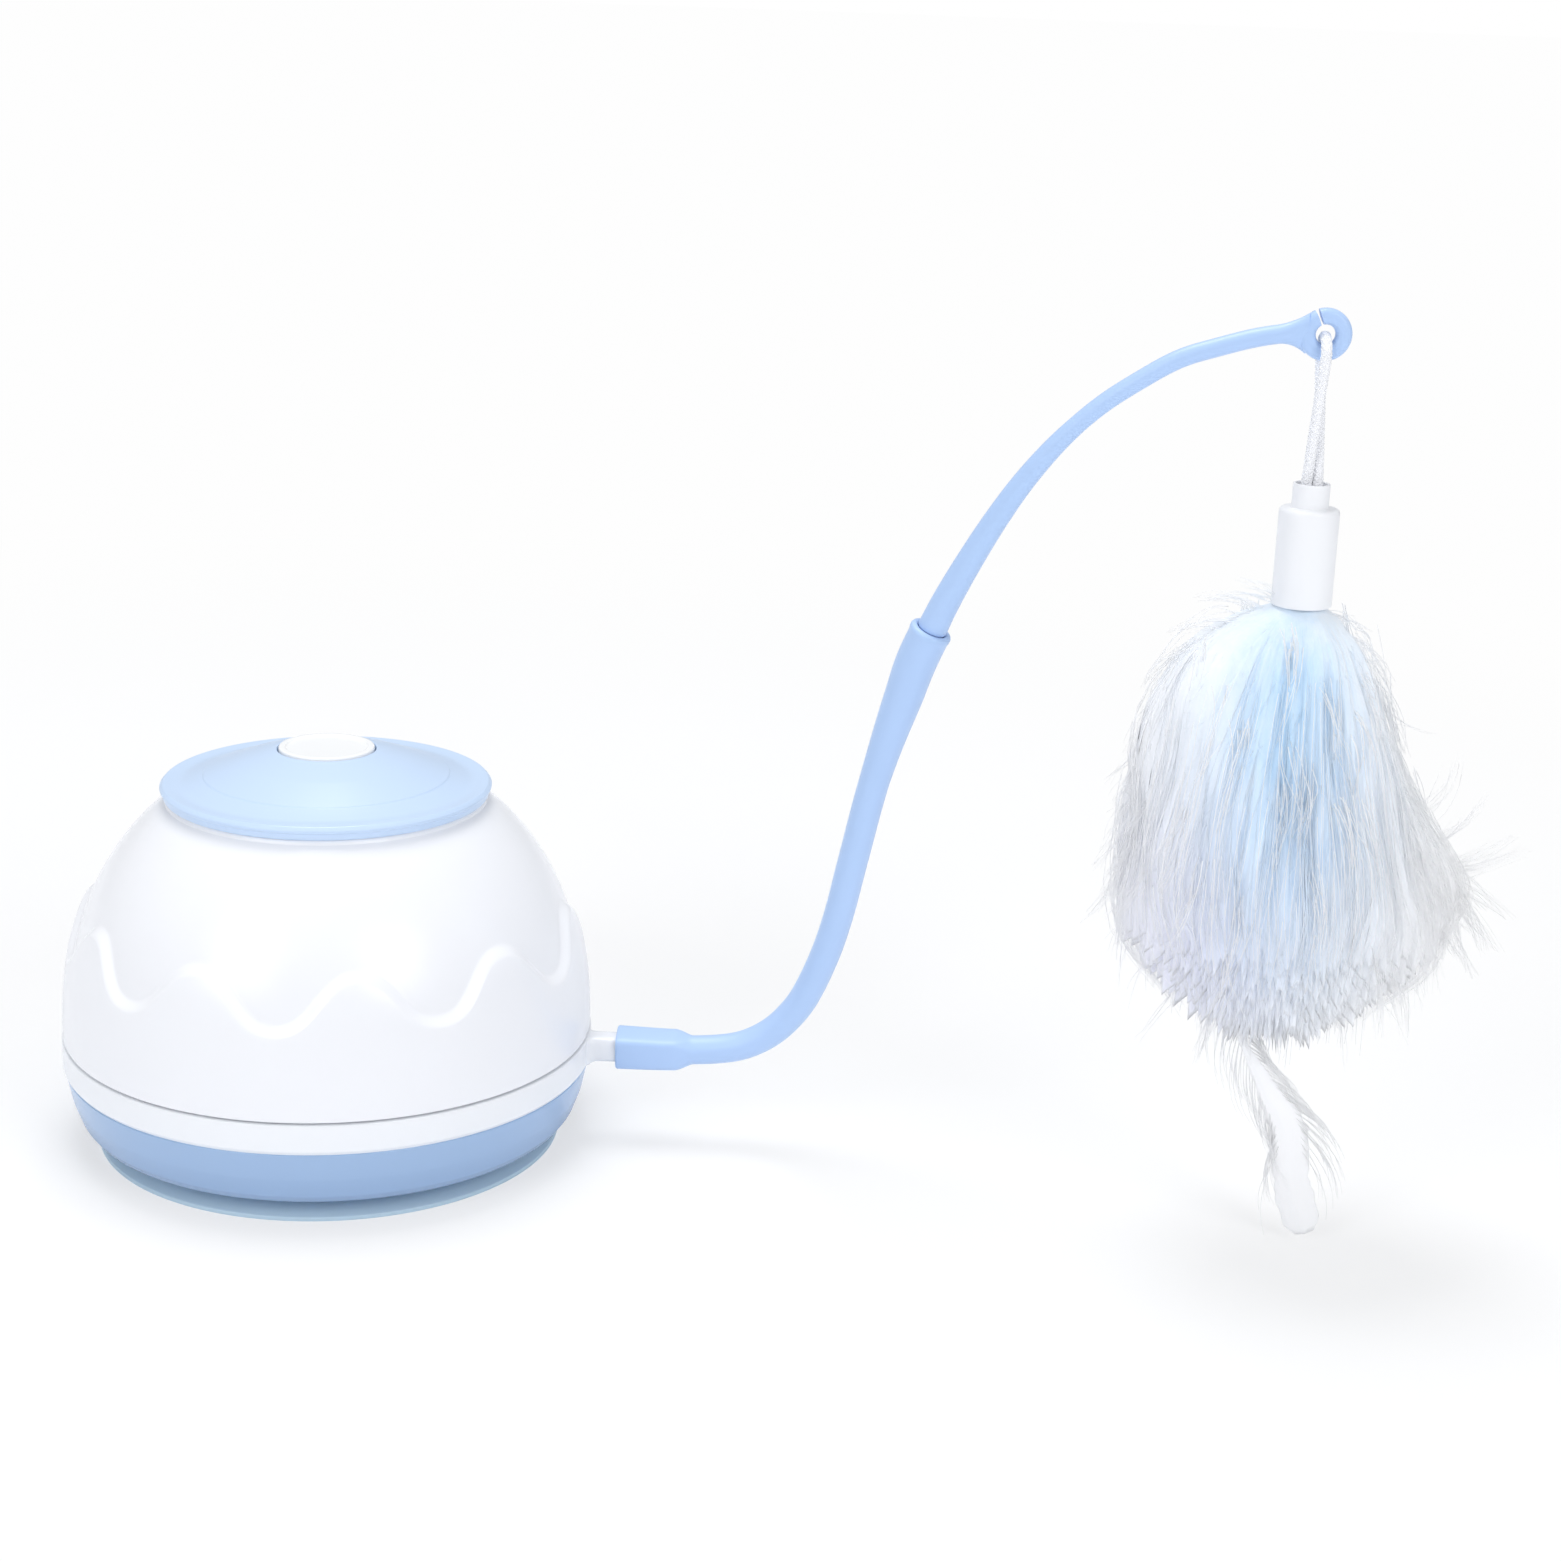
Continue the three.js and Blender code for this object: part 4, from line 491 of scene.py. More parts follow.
for name, shade, lead in (
    ("lead_red", srgb(176, 44, 42), "motor_lead"),
    ("lead_blue", srgb(44, 82, 158), "switch_lead"),
    ("lead_black", srgb(34, 36, 40), "battery_lead"),
):
    dress(moulded(name, shade, 0.4), lead)
screw_names = [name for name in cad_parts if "_screw_" in name]
dress(metal("zinc_screws", srgb(186, 188, 192), 0.34, (300.0, 300.0, 300.0)), *screw_names)

# Wand ring
# White glossy ring that turns between dome and bowl: the skirt that shows, a web on the bowl's
# track, the internal gear rim, and the square stub that the wand is pushed on.

ring_low, ring_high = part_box("wand_ring")
ring_radius = -ring_low.x
ring_bottom = ring_low.z
ring_top = 22.2 * mm
skirt_wall = 2.0 * mm
web_bottom = 19.2 * mm
web_top = 21.2 * mm
rim_bottom = ring_bottom + 0.3 * mm
rim_outer = 45.7 * mm
tooth_root = 44.0 * mm
rim_inner = tooth_root - 0.3 * mm
pitch_radius = 42.0 * mm
tooth_tip = 40.3 * mm
ring_teeth = 42

ring_skirt = turned("ring_skirt", [
    (rim_inner, rim_bottom, 0.2 * mm),
    (rim_outer, rim_bottom, 0.3 * mm),
    (rim_outer, web_bottom, 0.3 * mm),
    (ring_radius - skirt_wall, web_bottom, 0.3 * mm),
    (ring_radius - skirt_wall, ring_bottom, 0.2 * mm),
    (ring_radius - 0.7 * mm, ring_bottom, 0.4 * mm),
    (ring_radius, ring_bottom + 0.9 * mm, 0.8 * mm),
    (ring_radius, ring_top, 0.35 * mm),
    (ring_radius - skirt_wall, ring_top, 0.2 * mm),
    (ring_radius - skirt_wall, web_top, 0.3 * mm),
    (rim_inner, web_top, 0.2 * mm),
], segments=252)


def ring_gear_teeth():
    """Internal teeth as closed wedges whose flanks curve like the spaces between pinion teeth."""
    half_widths = [(tooth_root, 0.33), (pitch_radius, 0.236), (tooth_tip, 0.15)]
    end_inset = 0.1 * mm
    step = 2 * math.pi / ring_teeth
    points, faces = [], []
    for tooth in range(ring_teeth):
        middle = (tooth + 0.5) * step
        start = len(points)
        plan = [(radius, -share) for radius, share in half_widths]
        plan += [(radius, share) for radius, share in reversed(half_widths)]
        for height in (rim_bottom + end_inset, web_top - end_inset):
            for radius, share in plan:
                angle = middle + share * step
                points.append((radius * math.cos(angle), radius * math.sin(angle), height))
        count = len(plan)
        faces.append(tuple(start + i for i in reversed(range(count))))
        faces.append(tuple(start + count + i for i in range(count)))
        for i in range(count):
            j = (i + 1) % count
            faces.append((start + i, start + j, start + count + j, start + count + i))
    return piece_from("ring_gear_teeth", points, faces)


stub_half = 2.65 * mm
stub_flare = 1.9 * mm
stub_flare_reach = 2.4 * mm
stub_power = 4.0
stub_lift = 0.45 * mm
stub_height = (ring_bottom + ring_top) / 2 + stub_lift
stub_sides = 64


def ease(share):
    """A soft start and a soft end between 0 and 1."""
    share = numpy.clip(share, 0.0, 1.0)
    return share * share * (3 - 2 * share)


def ring_stub():
    """A square bar that leaves the skirt in a fillet, its root wrapped to the skirt's curve."""
    sunk = 0.12 * mm
    above_foot = 0.15 * mm
    below_top = 0.1 * mm
    rings = []
    for k in range(11):
        share = k / 10
        flare = stub_flare * (1 - math.sin(share * math.pi / 2)) ** 1.2
        reach = stub_flare_reach * (1 - math.cos(share * math.pi / 2))
        below = min(stub_half + flare, stub_height - ring_bottom - above_foot)
        beside_dome = ring_top - below_top - stub_height
        above = beside_dome + (stub_half - beside_dome) * ease(share)
        ring = []
        for u, v in superellipse(stub_half + flare, 1.0, stub_power, stub_sides):
            on_skirt = math.sqrt(ring_radius ** 2 - u ** 2)
            ring.append((on_skirt - sunk + reach, u, stub_height + v * (above if v > 0 else below)))
        rings.append(ring)
    end = ring_high.x
    bar = ((57 * mm, 1.0), (62 * mm, 1.0), (end - 1.0 * mm, 1.0), (end - 0.5 * mm, 0.97), (end, 0.82))
    for x, size in bar:
        half = stub_half * size
        rings.append([(x, u, stub_height + v) for u, v in superellipse(half, half, stub_power, stub_sides)])
    return skin_over("ring_stub", rings, 60.0)


white_gloss = moulded("white_gloss", srgb(246, 248, 252), 0.22, grain=0.05, drift=0.008)
finish_piece(ring_skirt, white_gloss, "ring", "shell_white", "wand_ring")
finish_piece(ring_gear_teeth(), white_gloss, "ring", "shell_white")
finish_piece(ring_stub(), white_gloss, "ring", "shell_white")

# Dome shell
# White high-gloss crown. Its lower part stands proud along a wave of ten soft crests, and its
# shoulder rolls into the flat deck that carries the blue disc.

dome_low, dome_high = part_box("dome_shell")
dome_bottom = 22.5 * mm
dome_radius = 50.8 * mm
relief = 1.4 * mm
wave_count = 10
wave_middle = 44.3 * mm
wave_swing = 4.7 * mm
wave_flat = 0.22
edge_half = 1.15 * mm
shoulder_height = 69.4 * mm
shoulder_radius = 31.3 * mm
crown_power = 2.38
crown_root = 0.523
crown_fall = 1 - (shoulder_radius / dome_radius) ** (1 / crown_root)
deck_radius = 27.4 * mm
dome_wall = 2.2 * mm
wall_inward = 0.9 * dome_wall
well_radius = 12.0 * mm
well_edge = 0.3 * mm
lip_outer = 49.8 * mm
lip_inner = 47.9 * mm


def dome_curve(height):
    share = max(0.0, (height - dome_bottom) / (shoulder_height - dome_bottom))
    return dome_radius * (1 - crown_fall * share ** crown_power) ** crown_root


def dome_section(angle):
    """Section points of the shell at one angle, from the lower edge over the crown and back inside."""
    swing = math.cos(wave_count * angle)
    crest = wave_middle + wave_swing * swing * (1 + wave_flat * (1 - swing * swing))
    plain_slope = wave_swing * wave_count * math.sin(wave_count * angle)
    slope = plain_slope * (1 + wave_flat - 3 * wave_flat * swing ** 2)
    half_edge = edge_half * math.sqrt(1 + (slope / dome_radius) ** 2)
    points = []
    edge_round = 0.6 * mm
    for k in range(5):
        turn = k / 4 * math.pi / 2
        height = dome_bottom + edge_round * (1 - math.cos(turn))
        points.append((dome_curve(height) + relief - edge_round * (1 - math.sin(turn)), height))
    first = dome_bottom + edge_round
    for k in range(1, 9):
        height = first + (crest - half_edge - first) * k / 8
        points.append((dome_curve(height) + relief, height))
    for k in range(1, 13):
        share = k / 12
        height = crest - half_edge + 2 * half_edge * share
        points.append((dome_curve(height) + relief * (1 - ease(share)), height))
    for k in range(1, 31):
        share = k / 30
        height = crest + half_edge + (shoulder_height - crest - half_edge) * share
        points.append((dome_curve(height), height))
    shoulder = dome_curve(shoulder_height)
    for k in range(1, 9):
        turn = k / 8 * math.pi / 2
        radius = deck_radius + (shoulder - deck_radius) * math.cos(turn)
        points.append((radius, shoulder_height + (dome_high.z - shoulder_height) * math.sin(turn)))
    points.append((well_radius + well_edge, dome_high.z))
    points.append((well_radius, dome_high.z - well_edge))
    points.append((well_radius, dome_high.z - dome_wall))
    for share in (1.0, 0.9, 0.75, 0.6, 0.45, 0.3, 0.15):
        height = dome_bottom + share * (dome_high.z - dome_wall - dome_bottom)
        points.append((dome_curve(height) - wall_inward, height))
    points.append((lip_inner, dome_bottom + 1.6 * mm))
    points.append((lip_inner, dome_low.z))
    points.append((lip_outer, dome_low.z))
    points.append((lip_outer, dome_bottom))
    return points


def wave_dome():
    azimuths = 480
    sections = [dome_section(2 * math.pi * i / azimuths) for i in range(azimuths)]
    rings = []
    for k in range(len(sections[0])):
        ring = []
        for i, section in enumerate(sections):
            angle = 2 * math.pi * i / azimuths
            radius, height = section[k]
            ring.append((radius * math.cos(angle), radius * math.sin(angle), height))
        rings.append(ring)
    return skin_over("dome_moulding", rings, close=True)


dome_gloss = moulded("dome_gloss", srgb(247, 248, 252), 0.24, grain=0.03, drift=0.008)
finish_piece(wave_dome(), dome_gloss, "housing", "shell_white", "dome_shell")

# Top disc
# Satin blue plate like a shallow hat: a cone down from the button, a soft crease, a dished border
# and a rolled rim with a fine shadow groove under it.

disc_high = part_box("top_disc")[1]
disc_radius = disc_high.y
hub_top = disc_high.z
hub_bore = 9.6 * mm
crease_radius = 24.0 * mm
crease_height = 74.3 * mm
crease_step = 0.25 * mm
dish_radius = 28.4 * mm
dish_height = 72.75 * mm
disc_rim_top = 73.1 * mm
disc_rim_bottom = 70.2 * mm
flange_well = 10.8 * mm
flange_well_top = 74.6 * mm
hub_outer = 12.8 * mm
skirt_outer = 26.6 * mm
skirt_inner = 25.2 * mm
disc_seat = 71.4 * mm
disc_wall = 1.8 * mm
cone_crown = 0.3 * mm
cone_slope = (hub_top - crease_height) / (crease_radius - hub_bore)
cone_middle = (hub_bore + crease_radius) / 2


def cone_height(radius):
    return hub_top - (radius - hub_bore) * cone_slope


top_disc = turned("top_disc_moulding", [
    (hub_bore, hub_top, 0.3 * mm),
    (cone_middle, cone_height(cone_middle) + cone_crown, 9.0 * mm),
    (crease_radius - crease_step, crease_height + crease_step, 0.2 * mm),
    (crease_radius, crease_height, 0.2 * mm),
    (dish_radius, dish_height, 9.0 * mm),
    (disc_radius - 1.5 * mm, disc_rim_top - 0.1 * mm, 0.6 * mm),
    (disc_radius - 0.7 * mm, disc_rim_top, 0.5 * mm),
    (disc_radius, disc_rim_top - 0.75 * mm, 0.4 * mm),
    (disc_radius - 0.1 * mm, disc_rim_top - 1.2 * mm, 0.2 * mm),
    (disc_radius - 0.55 * mm, disc_rim_top - 1.5 * mm, 0.12 * mm),
    (disc_radius - 0.6 * mm, disc_rim_bottom + 0.2 * mm, 0.5 * mm),
    (disc_radius - 2.0 * mm, disc_rim_bottom, 0.3 * mm),
    (disc_radius - 2.6 * mm, disc_rim_top - 1.8 * mm, 0.5 * mm),
    (skirt_outer, 71.85 * mm, 0.3 * mm),
    (skirt_outer, disc_seat, 0.1 * mm),
    (skirt_inner, disc_seat, 0.1 * mm),
    (skirt_inner, cone_height(skirt_inner) - disc_wall, 0.3 * mm),
    (hub_outer, cone_height(hub_outer) - disc_wall, 0.3 * mm),
    (hub_outer, disc_seat, 0.1 * mm),
    (flange_well, disc_seat, 0.1 * mm),
    (flange_well, flange_well_top, 0.2 * mm),
    (hub_bore, flange_well_top, 0.2 * mm),
], segments=240)
disc_satin = moulded("disc_satin", srgb(204, 225, 252), 0.3, grain=0.2)
finish_piece(top_disc, disc_satin, "housing", "disc_blue", "top_disc")

# Power button
# A white cap with a thin raised rim round a plain crown. It slides in the disc's hub over the
# switch and is kept in by its flange.

button_low, button_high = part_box("power_button")
button_radius = 9.3 * mm
flange_radius = 10.5 * mm
flange_top = 74.3 * mm
flange_bottom = 73.1 * mm
cap_wall = 1.3 * mm
crown_rim_rise = 0.35 * mm
crown_rim_width = 1.2 * mm
crown = button_high.z - crown_rim_rise
stem_radius = 2.2 * mm

power_button = turned("power_button_cap", [
    (0, button_low.z, 0),
    (stem_radius, button_low.z, 0.2 * mm),
    (stem_radius, crown - cap_wall, 0.3 * mm),
    (button_radius - cap_wall, crown - cap_wall, 0.3 * mm),
    (button_radius - cap_wall, flange_bottom, 0.15 * mm),
    (flange_radius, flange_bottom, 0.2 * mm),
    (flange_radius, flange_top, 0.2 * mm),
    (button_radius, flange_top, 0.15 * mm),
    (button_radius, button_high.z, 0.45 * mm),
    (button_radius - crown_rim_width, button_high.z, 0.25 * mm),
    (button_radius - crown_rim_width - crown_rim_rise, crown, 0.25 * mm),
    (0, crown + 0.15 * mm, 0),
], segments=144)
button_satin = moulded("button_satin", srgb(252, 253, 254), 0.24, grain=0.12, drift=0.006)
finish_piece(power_button, button_satin, "button", "button_white", "power_button")

# Wand, lower part
# Soft blue elastomer: a square sleeve that grips the ring's stub, a round bar that bends up, and
# a cuff with a fine bead that takes the upper part.

wand_lean = math.radians(12.5)
hook_reach = 181.0 * mm
hook_height = 171.0 * mm
wand_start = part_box("wand_lower")[0].x
wand_span = hook_reach - wand_start
wand_rise = (hook_height - stub_height) / math.cos(wand_lean)
wand_up = Vector((0, -math.sin(wand_lean), math.cos(wand_lean)))
wand_normal = wand_up.cross(Vector((1, 0, 0)))
lower_shares = [
    (0, 0), (0.095, 0), (0.163, 0.004), (0.202, 0.011), (0.234, 0.024), (0.26, 0.041), (0.282, 0.062),
    (0.302, 0.088), (0.332, 0.15), (0.352, 0.21), (0.373, 0.298), (0.401, 0.4125), (0.437, 0.523),
    (0.4745, 0.6165),
]
upper_shares = [
    (0.4745, 0.6165), (0.495, 0.657), (0.526, 0.71), (0.559, 0.761), (0.597, 0.812), (0.6445, 0.863),
    (0.696, 0.9055), (0.749, 0.938), (0.802, 0.965), (0.856, 0.981), (0.91, 0.994), (0.951, 0.9995), (1, 1),
]


def through(points, per_span=12):
    """A smooth centripetal curve through points, as close-set points along it."""
    points = [Vector(p) for p in points]
    padded = [2 * points[0] - points[1], *points, 2 * points[-1] - points[-2]]
    path = []
    for a, b, c, d in zip(padded, padded[1:], padded[2:], padded[3:]):
        ta = 0.0
        tb = ta + (b - a).length ** 0.5
        tc = tb + (c - b).length ** 0.5
        td = tc + (d - c).length ** 0.5
        for k in range(per_span):
            t = tb + (tc - tb) * k / per_span
            ab = a.lerp(b, (t - ta) / (tb - ta))
            bc = b.lerp(c, (t - tb) / (tc - tb))
            cd = c.lerp(d, (t - tc) / (td - tc))
            abc = ab.lerp(bc, (t - ta) / (tc - ta))
            bcd = bc.lerp(cd, (t - tb) / (td - tb))
            path.append(abc.lerp(bcd, (t - tb) / (tc - tb)))
    path.append(points[-1])
    return path


class Path:
    """Points along a curve, asked for by distance from its start."""

    def __init__(self, points):
        self.points = points
        self.marks = [0.0]
        for a, b in zip(points, points[1:]):
            self.marks.append(self.marks[-1] + (b - a).length)
        self.length = self.marks[-1]

    def at(self, distance):
        distance = min(max(distance, 0.0), self.length)
        k = min(int(numpy.searchsorted(self.marks, distance, side="right")) - 1, len(self.points) - 2)
        share = (distance - self.marks[k]) / (self.marks[k + 1] - self.marks[k])
        return self.points[k].lerp(self.points[k + 1], share)

    def direction(self, distance):
        step = 0.4 * mm
        return (self.at(distance + step) - self.at(distance - step)).normalized()


def wand_point(shares):
    span, rise = shares
    return Vector((wand_start + span * wand_span, 0, stub_height)) + wand_up * (rise * wand_rise)


def section(centre, axis, half, power=2.0, half_in_plane=None, count=48):
    """A ring of points round the wand's line, in the wand's own plane and across it."""
    side = axis.cross(wand_normal).normalized()
    return [
        centre + wand_normal * u + side * v
        for u, v in superellipse(half, half_in_plane or half, power, count)
    ]


lower_path = Path(through([wand_point(s) for s in lower_shares]))
upper_path = Path(through([wand_point(s) for s in upper_shares]))
mouth = upper_path.at(0)
mouth_axis = upper_path.direction(2 * mm)
tube_radius = 2.9 * mm
sleeve_half = 3.6 * mm
sleeve_end_half = 3.42 * mm
sleeve_power = 5.0
sleeve_length = 12.0 * mm
sleeve_taper = 3.4 * mm
cuff_radius = 3.85 * mm
cuff_length = 11.5 * mm
cuff_flare_start = 36.0 * mm
cuff_flare_end = 5.0 * mm
lip_height = 0.35 * mm
lip_radius = 2.85 * mm
bead = 0.14 * mm
spigot_radius = 2.5 * mm
grip_gap = 0.2 * mm


def cuff_line(depth):
    """Centre and direction along the lower part, whose bend runs out into a straight cuff."""
    straightens_from = lower_path.length - 15 * mm
    straightens_over = 12 * mm
    share = ease((depth - straightens_from) / straightens_over)
    straight = mouth + mouth_axis * (depth - lower_path.length)
    centre = lower_path.at(depth).lerp(straight, share)
    return centre, lower_path.direction(depth).lerp(mouth_axis, share).normalized()


def wand_lower():
    rings = []
    first_axis = Vector((1, 0, 0))
    start = lower_path.at(0)
    bore_half = stub_half + grip_gap
    bore_depth = ring_high.x + 0.3 * mm - wand_start
    bore_chamfer = 0.35 * mm
    bore = (
        (bore_depth, bore_half * 0.96),
        (bore_depth, bore_half),
        (bore_chamfer, bore_half),
        (0.0, bore_half + 0.2 * mm),
    )
    for depth, half in bore:
        rings.append(section(start + first_axis * depth, first_axis, half, stub_power))
    edge = 0.45 * mm
    for turn in (0.0, 0.3, 0.65, 1.0):
        inset = edge * (1 - math.sin(turn * math.pi / 2))
        depth = edge * (1 - math.cos(turn * math.pi / 2))
        rings.append(section(start + first_axis * depth, first_axis, sleeve_half - inset, sleeve_power))
    for k in range(1, 9):
        depth = edge + (sleeve_length - 2 * edge) * k / 8
        half = sleeve_half + (sleeve_end_half - sleeve_half) * k / 8
        rings.append(section(lower_path.at(depth), first_axis, half, sleeve_power))
    for k in range(1, 13):
        share = k / 12
        depth = sleeve_length - edge + (sleeve_taper + 0.6 * mm) * share
        half = sleeve_end_half + (tube_radius - sleeve_end_half) * ease(share)
        power = sleeve_power - (sleeve_power - 2.0) * ease(share)
        rings.append(section(lower_path.at(depth), lower_path.direction(depth), half, power))
    tube_start = sleeve_length + sleeve_taper + 0.3 * mm
    tube_end = lower_path.length - 1.4 * mm
    flare_from = lower_path.length - cuff_flare_start
    for k in range(1, 121):
        depth = tube_start + (tube_end - tube_start) * k / 120
        flare = ease((depth - flare_from) / (cuff_flare_start - cuff_flare_end))
        half = tube_radius + (cuff_radius - tube_radius) * flare
        rings.append(section(*cuff_line(depth), half))
    socket = spigot_radius + grip_gap
    lip_profile = [
        (-1.0 * mm, cuff_radius + bead * 0.5),
        (-0.7 * mm, cuff_radius + bead),
        (-0.2 * mm, cuff_radius + bead),
        (0.1 * mm, cuff_radius),
        (lip_height * 0.8, cuff_radius - 0.25 * mm),
        (lip_height, cuff_radius - 0.5 * mm),
        (lip_height, lip_radius + 0.15 * mm),
        (lip_height - 0.1 * mm, lip_radius),
        (-0.2 * mm, lip_radius),
        (-0.3 * mm, socket),
        (-cuff_length, socket),
        (-cuff_length - 0.1 * mm, socket * 0.9),
    ]
    for offset, radius in lip_profile:
        rings.append(section(mouth + mouth_axis * offset, mouth_axis, radius))
    return skin_over("wand_lower_bar", rings, 42.0)


def elastomer(name, shade):
    """Soft moulded elastomer: satin, with faint flow marks and a fine unevenness."""
    material, node, where = node_material(name)
    flow = node("TexNoise", {"Vector": where, "Scale": 55.0, "Detail": 4.0, "Distortion": 0.6})
    grain = node("TexNoise", {"Vector": where, "Scale": 1100.0, "Detail": 2.0})
    body = node("BsdfPrincipled", {
        "Base Color": scaled_colour(node, shade, spread_between(node, 0.975, 1.01, flow)),
        "Roughness": spread_between(node, 0.36, 0.46, flow),
        "Normal": bumpy(node, grain, 0.1, 0.00002),
        "Sheen Weight": 0.15,
        "Sheen Roughness": 0.5,
    })
    node("OutputMaterial", {"Surface": body.outputs[0]})
    return material


wand_blue = elastomer("wand_elastomer", srgb(182, 210, 250))
finish_piece(wand_lower(), wand_blue, "wand_base", "wand_blue", "wand_lower")

# Wand, upper part
# The same elastomer: a spigot in the cuff, a bar that thins towards its end, and a flared open
# eye. The slit lets the lure's cord be slipped in.

tip_base = 2.8 * mm
tip_end = 1.65 * mm
tip_taper = 48.0 * mm
spigot_depth = 11.5 * mm
eye_outer = 4.55 * mm
eye_hole = 1.7 * mm
eye_thickness = 3.0 * mm
slit_half = 0.25 * mm
slit_angle = math.radians(113)
slit_direction = Vector((math.cos(slit_angle), 0, math.sin(slit_angle)))
slit_across = Vector((math.sin(slit_angle), 0, -math.cos(slit_angle)))
cutter_half = 5 * mm
bar_sides = 40
hook = upper_path.at(upper_path.length)


def eye_ring():
    """The eye's ring with soft edges, cut open by the slit."""
    middle = (eye_outer + eye_hole) / 2
    wall = (eye_outer - eye_hole) / 2
    opening = slit_half / middle
    rings = []
    for k in range(73):
        angle = slit_angle + opening + (2 * math.pi - 2 * opening) * k / 72
        outward = Vector((math.cos(angle), 0, math.sin(angle)))
        rings.append([
            hook + outward * (middle + u) + Vector((0, v, 0))
            for u, v in superellipse(wall, eye_thickness / 2, 2.6, bar_sides)
        ])
    return skin_over("eye_ring", rings)


def wand_upper():
    rings = []
    spigot_profile = [
        (-spigot_depth, 2.0 * mm),
        (-spigot_depth + 0.5 * mm, 2.4 * mm),
        (-spigot_depth + 1.0 * mm, spigot_radius),
        (0.28 * mm, spigot_radius),
        (0.3 * mm, 2.66 * mm),
        (0.5 * mm, tip_base),
    ]
    for offset, half in spigot_profile:
        rings.append(section(mouth + mouth_axis * offset, mouth_axis, half, count=bar_sides))
    flare_start = upper_path.length - 8.5 * mm
    flare_end = upper_path.length - (eye_outer + eye_hole) / 2
    for k in range(1, 101):
        depth = 0.8 * mm + (flare_start - 0.8 * mm) * k / 100
        half = tip_base + (tip_end - tip_base) * min(1.0, depth / tip_taper)
        rings.append(section(upper_path.at(depth), upper_path.direction(depth), half, count=bar_sides))
    for k in range(1, 17):
        share = k / 16
        depth = flare_start + (flare_end - flare_start) * share
        spread = tip_end + (eye_outer * 0.8 - tip_end) * share ** 2.1
        thick = tip_end + (eye_thickness * 0.47 - tip_end) * share
        centre, axis = upper_path.at(depth), upper_path.direction(depth)
        rings.append(section(centre, axis, thick, half_in_plane=spread, count=bar_sides))
    bar = skin_over("wand_upper_bar", rings)
    carve(bar, eye_ring(), "UNION")
    hole = turned("eye_hole", [
        (0, -cutter_half, 0),
        (eye_hole, -cutter_half, 0),
        (eye_hole, cutter_half, 0),
        (0, cutter_half, 0),
    ], segments=64)
    hole.data.transform(Matrix.Translation(hook) @ Matrix.Rotation(math.pi / 2, 4, "X"))
    carve(bar, hole)
    corners = [
        hook + slit_direction * (out * eye_outer) + slit_across * (side * slit_half)
        for out, side in ((0.3, -1), (0.3, 1), (1.6, 1), (1.6, -1))
    ]
    slit = skin_over("slit", [
        [corner + Vector((0, y, 0)) for corner in corners] for y in (-cutter_half, cutter_half)
    ])
    carve(bar, slit, sharp_degrees=50.0)
    return bar


finish_piece(wand_upper(), wand_blue, "wand_tip", "wand_blue", "wand_upper")

# Cord loop
# One fine white braided cord, passed through the eye, with both ends fixed in the lure's cap.
# Twelve interlaced strands lie over a soft core.

cord_spread = 1.08 * mm
cap_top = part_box("lure_cap")[1].z
cord_end = cap_top - 2.3 * mm
loop_radius = 3.0 * mm
loop_top = hook.z - 0.4 * mm


def cord_route():
    """The route's points, as the frame has them: up one side, over the eye's lower wall, down."""
    def side(sign):
        return [Vector((
            hook.x + sign * cord_spread * (1 - share) ** 0.8,
            hook.y + sign * loop_radius * math.sin(share * math.pi / 2) ** 1.5,
            cord_end + (loop_top - loop_radius - cord_end) * share,
        )) for share in (0, 0.04, 0.16, 0.42, 0.72, 1)]

    over = [Vector((
        hook.x,
        hook.y + loop_radius * math.sin(math.radians(degrees)),
        loop_top - loop_radius + loop_radius * math.cos(math.radians(degrees)),
    )) for degrees in (-60, -30, 0, 30, 60)]
    return side(-1) + over + side(1)[::-1]


def closed_tubes(rings):
    """Closed tubes through rings of points, as points, faces and end caps."""
    count, steps, sides = rings.shape[:3]
    first = (numpy.arange(count) * steps * sides)[:, None, None]
    k = (numpy.arange(steps - 1) * sides)[None, :, None]
    i = numpy.arange(sides)[None, None, :]
    j = (i + 1) % sides
    a, b = first + k + i, first + k + j
    quads = numpy.stack([a, b, b + sides, a + sides], axis=-1).reshape(-1, 4)
    last = first[:, 0] + (steps - 1) * sides
    caps = numpy.concatenate([first[:, 0] + numpy.arange(sides)[::-1], last + numpy.arange(sides)])
    return rings.reshape(-1, 3), quads, caps


def strand_tubes(paths, radii, sides=3):
    """Closed thin tubes along many paths at once, as points and faces."""
    tiny = 1e-12
    paths = numpy.asarray(paths, float)
    along = numpy.gradient(paths, axis=1)
    along /= numpy.linalg.norm(along, axis=2, keepdims=True) + tiny
    upright = numpy.abs(along[:, :1, 2:]) > 0.9
    reference = numpy.where(upright, [[[1.0, 0.13, 0.0]]], [[[0.1, 0.0, 1.0]]])
    across = numpy.cross(along, reference)
    across /= numpy.linalg.norm(across, axis=2, keepdims=True) + tiny
    other = numpy.cross(along, across)
    angles = 2 * math.pi * numpy.arange(sides)[:, None] / sides
    ring = numpy.cos(angles) * across[:, :, None, :] + numpy.sin(angles) * other[:, :, None, :]
    return closed_tubes(paths[:, :, None, :] + ring * radii[:, :, None, None])


